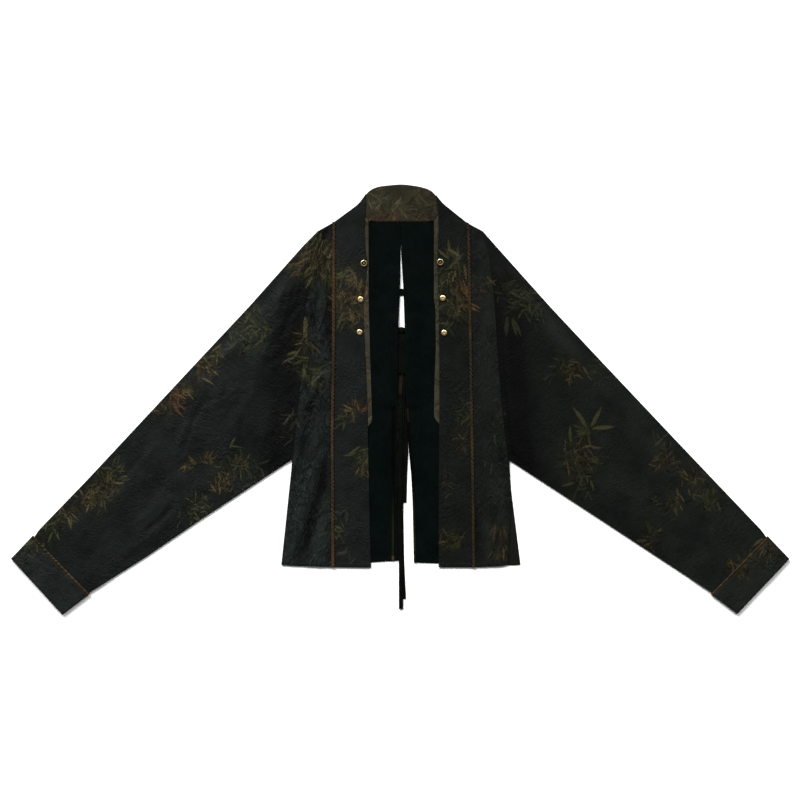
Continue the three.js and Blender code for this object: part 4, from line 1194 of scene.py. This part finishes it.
# Stitches and snaps.
def stitch_tree():
    """Stitches along a curve: one small bead of thread every Pitch."""
    tree = bpy.data.node_groups.new("run of stitches", "GeometryNodeTree")
    face = tree.interface
    face.new_socket("Geometry", in_out="INPUT", socket_type="NodeSocketGeometry")
    for label, value in (("Pitch", 0.003), ("Length", 0.0011), ("Thickness", 0.00028)):
        face.new_socket(label, in_out="INPUT", socket_type="NodeSocketFloat").default_value = value
    face.new_socket("Thread", in_out="INPUT", socket_type="NodeSocketMaterial")
    face.new_socket("Geometry", in_out="OUTPUT", socket_type="NodeSocketGeometry")
    n = Nodes(tree)
    given = n.add("NodeGroupInput").outputs
    out = n.add("NodeGroupOutput").inputs
    line = n.add("GeometryNodeResampleCurve", mode="LENGTH",
                 inputs={"Curve": given["Geometry"], "Length": given["Pitch"]})
    turn = n.add("FunctionNodeAlignRotationToVector", axis="X",
                 inputs={"Vector": n.add("GeometryNodeInputTangent").outputs[0]})
    bead = n.add("GeometryNodeMeshIcoSphere", inputs={"Radius": 1.0, "Subdivisions": 1})
    size = n.add("ShaderNodeCombineXYZ", {0: given["Length"],1: given["Thickness"], 2: given["Thickness"]})
    rows = n.add("GeometryNodeInstanceOnPoints", inputs={
        "Points": line.outputs[0], "Instance": bead.outputs[0],
        "Rotation": turn.outputs[0], "Scale": size.outputs[0],
    })
    real = n.add("GeometryNodeRealizeInstances", inputs={0: rows.outputs[0]})
    smoothed = n.add("GeometryNodeSetShadeSmooth", inputs={0: real.outputs[0]})
    sewn = n.add("GeometryNodeSetMaterial", {"Geometry": smoothed.outputs[0], "Material": given["Thread"]})
    tree.links.new(sewn.outputs[0], out[0])
    return tree


STITCHES = stitch_tree()


def stitched(name, lines, thread, pitch=3.0):
    """A row of stitches along each line of (x, y, z) in mm, as one plain mesh."""
    curve = bpy.data.curves.new(name + "_path", "CURVE")
    curve.dimensions = "3D"
    for line in lines:
        spline = curve.splines.new("POLY")
        spline.points.add(len(line) - 1)
        spline.points.foreach_set("co", np.column_stack([line * MM, np.ones(len(line))]).ravel())
    path = put(name + "_path", curve)
    modifier = path.modifiers.new("stitches", "NODES")
    modifier.node_group = STITCHES
    sockets = {s.name: s.identifier for s in STITCHES.interface.items_tree if s.in_out == "INPUT"}
    modifier[sockets["Pitch"]] = pitch * MM
    modifier[sockets["Thread"]] = thread
    evaluated = path.evaluated_get(bpy.context.evaluated_depsgraph_get())
    mesh = bpy.data.meshes.new_from_object(evaluated)
    mesh.name = name
    bpy.data.objects.remove(path)
    return finish(put(name, mesh))


def turned(section, x, y, z, count=40):
    """Rings of a round solid from rows of (radius, height)."""
    angle = circle(count)
    return np.array([
        np.column_stack([x + radius * np.cos(angle), y + radius * np.sin(angle), np.full(count, z + height)])
        for radius, height in section
    ])


CAP_SECTION = [
    (5.0, 0.0), (5.45, 0.15), (5.5, 0.5), (5.42, 0.85), (5.2, 1.3), (4.7, 1.7), (4.0, 1.98),
    (3.1, 2.14), (2.2, 2.2), (1.7, 2.16), (1.35, 2.04), (1.0, 1.92), (0.5, 1.88),
]
SOCKET_SECTION = [
    (5.7, 0.0), (6.15, 0.15), (6.25, 0.6), (6.2, 1.1), (6.0, 1.55), (5.6, 1.9), (5.0, 2.1), (4.4, 2.05),
    (3.9, 1.85), (3.6, 1.6), (3.4, 1.0), (3.2, 0.75), (2.2, 0.7), (1.9, 0.95), (1.2, 1.05), (0.5, 1.05),
]
SOCKET_POST = 1.3  # a socket has painted shade between its post and its well's edge, and past its rim
SOCKET_WELL = 4.2
SOCKET_RIM = 5.6

# Camera, floor and lights.
CENTRE = (-0.0004, -0.0016)
camera_data = bpy.data.cameras.new("camera")
camera_data.lens = 85
camera_data.sensor_width = 36
camera = bpy.data.objects.new("camera", camera_data)
camera.location = (*CENTRE, 3.494)
bpy.context.scene.collection.objects.link(camera)
bpy.context.scene.camera = camera
bpy.context.scene.view_settings.view_transform = "Standard"

FLOOR_HALF = 30.0
floor_mesh = bpy.data.meshes.new("floor")
floor_mesh.from_pydata(
    [(-FLOOR_HALF, -FLOOR_HALF, -0.0004), (FLOOR_HALF, -FLOOR_HALF, -0.0004),
     (FLOOR_HALF, FLOOR_HALF, -0.0004), (-FLOOR_HALF, FLOOR_HALF, -0.0004)],
    [], [(0, 1, 2, 3)],
)
floor_mesh.materials.append(floor_finish())
floor = bpy.data.objects.new("floor", floor_mesh)
bpy.context.scene.collection.objects.link(floor)

world = bpy.data.worlds.new("studio")
world.use_nodes = True
world.node_tree.nodes["Background"].inputs["Color"].default_value = (1, 1, 1, 1)
world.node_tree.nodes["Background"].inputs["Strength"].default_value = 0.2
bpy.context.scene.world = world


def soft_light(name, toward, strength, spread):
    """Even light from one side: toward is where it comes from, spread how soft it is in degrees."""
    data = bpy.data.lights.new(name, "SUN")
    data.energy = strength
    data.angle = math.radians(spread)
    lamp = bpy.data.objects.new(name, data)
    lamp.rotation_euler = Vector(toward).to_track_quat("Z", "Y").to_euler()
    bpy.context.scene.collection.objects.link(lamp)


soft_light("key", (-0.45, 0.95, 0.62), 6.8, 30)
soft_light("second", (0.6, 0.9, 0.7), 2.0, 36)

# The jacket.
SLEEVE_GRAIN = {"left": -43.0, "right": 43.0}
BAMBOO = (SPRAYS, leaves_of(SPRAYS, STALKS, 5))
FIGURE_SPRAYS = [
    *strewn_sprays(21, (-75, 340, 75, 400), 16, 25, ("cream", "cream", "rose")),
    *strewn_sprays(23, (-60, 330, 68, 346), 9, 15, ("rose", "orange")),
    *strewn_sprays(22, (-76, 110, -54, 335), 26, 14, ("cream", "amber", "rose")),
    *strewn_sprays(24, (-74, -50, -50, 110), 12, 14, ("cream", "amber")),
    *strewn_sprays(25, (58, -50, 76, 335), 34, 14, ("cream", "cream", "rose")),
]
FIGURES = (FIGURE_SPRAYS, leaves_of(FIGURE_SPRAYS, [], 6))

for half in (LEFT, RIGHT):
    side, sign = half["side"], half["sign"]
    silks, brown = SILKS[side], BROWN[side]
    arm_count = divisions(half["arm"])
    side_count = divisions(half["back_side"])
    rows = arm_count + side_count
    arm_line = resampled(half["arm"], arm_count)

    # Back panel, which shows its inside.
    back_top_table = [half["fold"][-1], half["piping"][-1], half["side_neck"], *reversed(half["neck"])]
    columns = divisions(half["back_hem"])
    back_outer = np.vstack([resampled(half["back_side"], side_count), arm_line[1:]])
    back_grid = patch(resampled(half["back_hem"], columns), resampled(back_top_table, columns), back_outer,
                      resampled(half["slit"], rows), sign)

    def back_under(x, y):
        return back_height(half, x, y)

    back_points, back_quads, back_sides = shell(back_grid, back_under)
    middle = back_points[back_quads].mean(axis=1)
    past_front = sign * middle[:, 0] > edge_at(half["front_side"], middle[:, 1]) - 4
    back_sides[past_front & (back_sides == 0) & (middle[:, 1] < half["front_side"][-1][1])] = 2
    back = make("back_panel_" + side, (back_points, back_quads, back_sides),
                [INSIDE, silks["band"], SIDE_FACING], "back_" + side)

    # Front panel, which rolls over the sleeve.
    fine_arm, fine_side = divisions(half["arm"], FINE_STEP), divisions(half["front_side"], FINE_STEP)
    fine_rows = fine_arm + fine_side
    piping_line = resampled(half["piping"], fine_rows)
    front_outer = np.vstack([resampled(half["front_side"], fine_side), resampled(half["fold"], fine_arm)[1:]])
    front_columns = divisions(half["front_hem"], FINE_STEP)
    front_top = resampled([half["fold"][-1], half["piping"][-1]], front_columns)
    front_grid = patch(resampled(half["front_hem"], front_columns), front_top, front_outer, piping_line, sign)
    front_rows = FRONT_FOLDS[side] + [row for table in FRONT_CRINKLES[side] for row in crinkles(*table)]

    def front_under(x, y):
        return front_height(half, front_rows, x, y)

    # Painted light and shade: lighter on the folds' crests and darker in their troughs, and darker towards
    # the top where dark_top says.
    def front_shade_and_tone(x, y):
        shade = 0.05 + half["dark_top"] * smooth((y - 20) / 120)
        return np.clip(ridges(front_rows, sign * x, y) / 1.2 - shade, -1, 1)

    front = make("front_panel_" + side, shell(front_grid, front_under), [silks["front"], REVERSE],
                 "front_" + side, motif=BAMBOO, shade_and_tone=front_shade_and_tone)

    # Band up to the neck.
    band_top = [half["piping"][-1], half["side_neck"], half["band_edge"][-1]]
    band_bottom = [half["piping"][0], half["band_edge"][0]]
    band_columns = divisions(band_bottom, FINE_STEP)
    band_grid = patch(resampled(band_bottom, band_columns), resampled(band_top, band_columns), piping_line,
                      resampled(half["band_edge"], fine_rows), sign)

    def band_under(x, y):
        return band_height(half, x, y, BAND_FOLDS[side])

    band = make("front_band_" + side, shell(band_grid, band_under), [silks["band"], REVERSE],
                "band_" + side, motif=BAMBOO)

    # Facing strip past the band's edge.
    facing_count = divisions(half["facing_edge"])
    facing_inner = resampled(half["facing_edge"], facing_count, soften=3.0)
    facing_outer = np.column_stack([
        edge_at(half["band_edge"], facing_inner[:, 1]) + FACING_MARGIN,
        np.maximum(facing_inner[:, 1], half["facing_edge"][0][1]),
    ])
    facing_outer[-1] = half["neck"][-2]
    facing_top = [facing_outer[-1], half["neck"][-3], facing_inner[-1]]
    facing_grid = trimmed(patch(
        resampled([facing_outer[0], facing_inner[0]], 8), resampled(facing_top, 8, soften=1.5),
        facing_outer, facing_inner, sign,
    ), GAP / 2)
    facing = make("facing_strip_" + side, shell(facing_grid, flat_at(LAYER)), [STRIP_JACQUARD],
                  "facing_" + side, motif=FIGURES)

    # Sleeve, a flattened tube.
    sleeve_rows = divisions(half["sleeve_over"])
    end_line = resampled([half["sleeve_under"][-1], half["sleeve_over"][-1]], arm_count)
    sleeve_grid = trimmed(patch(
        resampled(half["sleeve_under"], sleeve_rows), resampled(half["sleeve_over"], sleeve_rows),
        arm_line, end_line, sign,
    ).transpose(1, 0, 2), GAP / 2)
    sleeve_folds = SLEEVE_FOLDS[side] + [row for table in SLEEVE_CRINKLES[side] for row in crinkles(*table)]

    def armhole_rise(x, y):
        """The sleeve's swell beside the armhole, with its steep side away from the left."""
        high, near, far = half["armhole"]
        away = sign * x - edge_at(half["fold"], y)
        held = smooth((y + 150) / 90) * smooth((250 - y) / 150)
        return high * held * smooth((away - 2) / near) * (1 - smooth((away - near) / far))

    def sleeve_low(x, y, j, share, width):
        return np.full_like(x, sleeve_lift(j / sleeve_rows))

    def sleeve_high(x, y, j, share, width):
        along = j / sleeve_rows
        free = smooth((share * width - 4) / 30) * smooth(((1 - share) * width - 4) / 60)
        near = smooth(along / 0.06) * smooth((0.93 - along) / 0.08)
        rise = np.maximum(0.6 + ridges(sleeve_folds, sign * x, y) + armhole_rise(x, y), -0.4)
        return sleeve_lift(along) + 2 * WALL + SLEEVE_HOLLOW + rise * free * near

    # Painted shade: darker in the folds' troughs and in the hollow beside the armhole, with painted light on
    # the crests; lighter towards the end where pale_end says.
    def sleeve_shade_and_tone(x, y):
        out = sign * x
        hollow = (1 - smooth((out - edge_at(half["fold"], y)) / 90)) * smooth((285 - y) / 130)
        pale = half["pale_end"] * smooth((out - 330) / 220)
        return np.clip(ridges(sleeve_folds, out, y) / 7 - 1.8 * hollow + pale, -1, 1)

    sleeve_body = tube(*flat_rings(sleeve_grid, sleeve_low, sleeve_high, WALL, *SLEEVE_COUNTS))
    sleeve = make("sleeve_tube_" + side, sleeve_body, [silks["sleeve"], REVERSE],
                  "sleeve_" + side, SLEEVE_GRAIN[side], BAMBOO, sleeve_shade_and_tone)

    # Cuff over the sleeve's end, and its piping.
    corners = {key: np.array(value) for key, value in half["cuff"].items()}

    def cuff_row(t):
        under = corners["inner_under"] + (corners["outer_under"] - corners["inner_under"]) * t
        over = corners["inner_over"] + (corners["outer_over"] - corners["inner_over"]) * t
        return placed(resampled([under, over], 48), sign)

    cuff_high = CUFF_LIFT + 2 * WALL + SLEEVE_HOLLOW + GAP + WALL
    cuff_steps = np.concatenate([[0, 0.012, 0.03, 0.06], np.linspace(0.1, 0.9, 17), [0.94, 0.97, 0.988, 1]])
    cuff_grid = np.array([cuff_row(t) for t in cuff_steps])

    def cuff_top(x, y, j, share, width):
        t = cuff_steps[j]
        drop = 0.55 * (1 - smooth(min(t, 1 - t) / 0.03))
        free = smooth((share * width - 4) / 16) * smooth(((1 - share) * width - 4) / 16)
        wave = 0.35 * np.sin(x / 17 + y / 23) + 0.25 * np.sin(x / 9 - y / 13)
        return cuff_high - drop + np.maximum(wave, 0) * free * smooth(t / 0.1)

    cuff_body = tube(*flat_rings(cuff_grid, flat_at(0.0), cuff_top, WALL, *CUFF_COUNTS))
    cuff = make("sleeve_cuff_" + side, cuff_body, [silks["cuff"], REVERSE], "cuff_" + side,
                SLEEVE_GRAIN[side], BAMBOO)
    cord_steps = np.linspace(-0.08, -0.006, 9)
    cord_grid = np.array([cuff_row(t) for t in cord_steps])

    def cord_top(x, y, j, share, width):
        level = 2 * j / (len(cord_steps) - 1) - 1
        ribs = 0.22 * np.sin(twist_at(share * width) + level * 2)
        return cuff_high - 0.5 + math.sqrt(1 - 0.94 * level * level) + ribs

    cord_body = tube(*flat_rings(cord_grid, flat_at(0.0), cord_top, CORD_WALL, *CORD_COUNTS))
    cord = make("cuff_piping_" + side, cord_body, [brown], "piping_cuff_" + side,
                SLEEVE_GRAIN[side], shade_and_tone=lambda x, y: twisted(y - 0.2 * x))

    # Piping over the band's seam.
    run = resampled(half["piping"], math.ceil(length_of(half["piping"]) / 1.2))
    angle = circle(16)
    twist = 1 + 0.11 * np.sin(angle[None] + twist_at(run[:, 1:2]))
    aside = PIPING_WIDTH / 2 * np.cos(angle)[None] * twist
    rise = PIPING_HEIGHT / 2 * (1 + np.sin(angle)[None] * twist)
    along = np.broadcast_to(run[:, 1:2], aside.shape)
    piping_rings = np.stack([sign * run[:, :1] + aside, along, 2 * LAYER + rise], -1)
    piping = make("seam_piping_" + side, solid(piping_rings), [brown],
                  "piping_front_" + side, 45.0, shade_and_tone=lambda x, y: twisted(y + 1.2 * x))

    # Narrow facing beside the back opening.
    inside, wide, top, least = (half["slit_facing"][key] for key in ("inside", "wide", "top", "least"))
    slit_run = resampled(half["slit"], rows)
    slit_run = slit_run[slit_run[:, 1] < top]
    slit_run[:, 0] = np.maximum(slit_run[:, 0] + inside, least)
    slit_grid = np.stack([slit_run + (wide * part, 0) for part in np.linspace(1, 0, 5)], 1)
    slit_grid = slit_grid * (sign, 1)
    strip_points, strip_quads, strip_sides = shell(
        slit_grid, lambda x, y: back_height(half, x, y) + LAYER, FACING_WALL, 0.3)
    strip_y = strip_points[strip_quads].mean(axis=1)[:, 1]
    strip_sides = np.where(strip_y < -290 if side == "left" else strip_y > -42, 1, 0)
    slit_strip = make("slit_strip_" + side, (strip_points, strip_quads, strip_sides), [OLIVE, brown],
                      "slit_facing_" + side,
                      shade_and_tone=lambda x, y: 0.2 - 1.1 * smooth((y + 240) / 90))

    # Snaps.
    for number, (x, y, socket) in enumerate(half["snaps"], 1):
        base = float(band_height(half, np.array(sign * x), np.array(y))) + LAYER
        section = SOCKET_SECTION if socket else CAP_SECTION
        snap_points, snap_quads, snap_sides = solid(turned(section, sign * x, y, base))
        if socket:
            # painted shade in the well and down the outer rim
            reach = np.linalg.norm(snap_points[snap_quads].mean(axis=1)[:, :2] - (sign * x, y), axis=1)
            well = (reach > SOCKET_POST) & (reach < SOCKET_WELL)
            snap_sides = np.where(well | (reach > SOCKET_RIM), 1, 0)
        make(f"press_stud_{side}_{number}", (snap_points, snap_quads, snap_sides), [BRASS, SHADED_METAL],
             f"snap_{side}_{number}")

    # Stitches beside the hems and edges, on top of the cloth.
    def on_top(line, under, thick=WALL):
        flat = placed(line, sign)
        return np.column_stack([flat, under(flat[:, 0], flat[:, 1]) + thick + STITCH_LIFT])

    hem = resampled(half["front_hem"], 60) + (0, HEM_INSET)
    band_hem = resampled(band_bottom, 60)[6:-4] + (0, HEM_INSET)
    front_stitches = stitched("hem_stitches_" + side, [
        on_top(hem[2:-3], front_under), on_top(band_hem, band_under),
    ], DARK_THREAD)
    facing_line = resampled(half["facing_edge"], 300)[10:-10] + (1.6, 0)
    facing_stitches = stitched("facing_stitches_" + side, [
        on_top(facing_line, flat_at(LAYER), FACING_WALL + 0.2),
    ], BROWN_THREAD)

# Collar, with its lining to the front.
neck_table = [(-x, y) for x, y in reversed(LEFT["neck"])] + RIGHT["neck"][1:]
collar_columns = divisions(COLLAR_TOP)
neck_line = resampled(neck_table, collar_columns, soften=1.5)
collar_top_line = resampled(COLLAR_TOP, collar_columns)
collar_grid = patch(
    neck_line, collar_top_line,
    resampled([neck_line[0], collar_top_line[0]], 22, soften=0),
    resampled([neck_line[-1], collar_top_line[-1]], 22, soften=0),
)


def collar_wave(x, y):
    return 0.5 * (1 + np.sin(x / 21 + 0.6)) * smooth((y - 335) / 20) * smooth((76 - np.abs(x)) / 18)


collar_outer = make("collar_cloth", shell(collar_grid, lambda x, y: collar_wave(x, y) * 0.5),
                    [SILKS["left"]["band"]], "collar_outer")
collar_inner = make("collar_inside", shell(collar_grid, lambda x, y: LAYER + collar_wave(x, y)), [JACQUARD],
                    "collar_lining", motif=FIGURES)

# Ties across the back opening and the bow on the lower one.
KNOT = {"x": 2.7, "y": 127.0, "half_width": 5.2, "half_length": 6.6, "high": 3.4}
LOOP_LOW = TIE_WALL + GAP
LOOP_HIGH = LOOP_LOW + 2 * TIE_WALL + GAP
LOOP_ENDS = (46.5, 119.5)
BAR_WIDTH = 13


def tie(name, table, node, width=TIE_WIDTH, brown=None):
    """A flat tie along a table of (x, y, z), brown where its reverse shows."""
    line = resampled(table, math.ceil(length_of(table) / 2.5), soften=5.0)
    points, quads, side = tube(*strap_rings(line, width, TIE_WALL))
    if brown:
        height = points[quads].mean(axis=1)[:, 1]
        side = np.where((height > brown[0]) & (height < brown[1]), 1, side)
    item = make(name, (points, quads, side), [TIE_CLOTH, TIE_REVERSE], node)
    return item, length_of(line) * MM


upper_bar, _ = tie("upper_tie_bar", [(-18, 197.5, 0), (21, 197.5, 0)], "tie_upper_bar", BAR_WIDTH)
lower_bar, _ = tie("lower_tie_bar", [(-18, 127.5, 0), (21, 124.5, 0)], "tie_lower_bar", BAR_WIDTH)
upper_tail, upper_length = tie("upper_tie_tail", UPPER_TAIL, "tie_upper_tail")
right_tail, right_length = tie("lower_tie_tail_right", TAIL_RIGHT, "tie_lower_tail_right")
left_tail, left_length = tie("lower_tie_tail_left", TAIL_LEFT, "tie_lower_tail_left", brown=(8, 46))

for name, x in (("left", -0.5), ("right", 7.5)):
    stations = [(-3.9, 0.42), (-3.75, 0.16), (-3.4, 0.02), (0, 0), (3.4, 0.02), (3.75, 0.16), (3.9, 0.42)]
    outer, inner = [], []
    for aside, taper in stations:
        for rings, inset in ((outer, taper), (inner, TIE_WALL - taper)):
            radius = (LOOP_HIGH - LOOP_LOW) / 2 - inset
            level = (LOOP_LOW + LOOP_HIGH) / 2
            reach = (LOOP_HIGH - LOOP_LOW) / 2
            angle = np.linspace(-np.pi / 2, np.pi / 2, 9)
            top_y = LOOP_ENDS[1] - reach + radius * np.cos(angle)
            low_y = LOOP_ENDS[0] + reach - radius * np.cos(angle)
            between = np.linspace(LOOP_ENDS[1] - reach, LOOP_ENDS[0] + reach, 24)[1:-1]
            ys = np.concatenate([top_y, between, low_y, between[::-1]])
            zs = np.concatenate([
                level + radius * np.sin(angle), np.full(len(between), level + radius),
                level - radius * np.sin(angle), np.full(len(between), level - radius),
            ])
            rings.append(np.column_stack([np.full(len(ys), x + aside), ys, zs]))
    make("bow_loop_" + name, tube(np.array(outer), np.array(inner)), [TIE_CLOTH],
                      "tie_lower_loop_" + name)

knot_rings = []
for share in np.linspace(0, 1, 14):
    spread = math.sqrt(1 - 0.75 * (2 * abs(share - 0.45)) ** 2)
    angle = circle(40)
    pleat = 1 + 0.05 * np.cos(angle * 6 + 0.6)
    knot_rings.append(np.column_stack([
        KNOT["x"] + KNOT["half_width"] * spread * pleat * np.cos(angle),
        KNOT["y"] + KNOT["half_length"] * spread * pleat * np.sin(angle),
        np.full_like(angle, LOOP_LOW + KNOT["high"] * share),
    ]))
knot = make("bow_knot", solid(np.array(knot_rings)), [TIE_CLOTH], "tie_lower_knot")
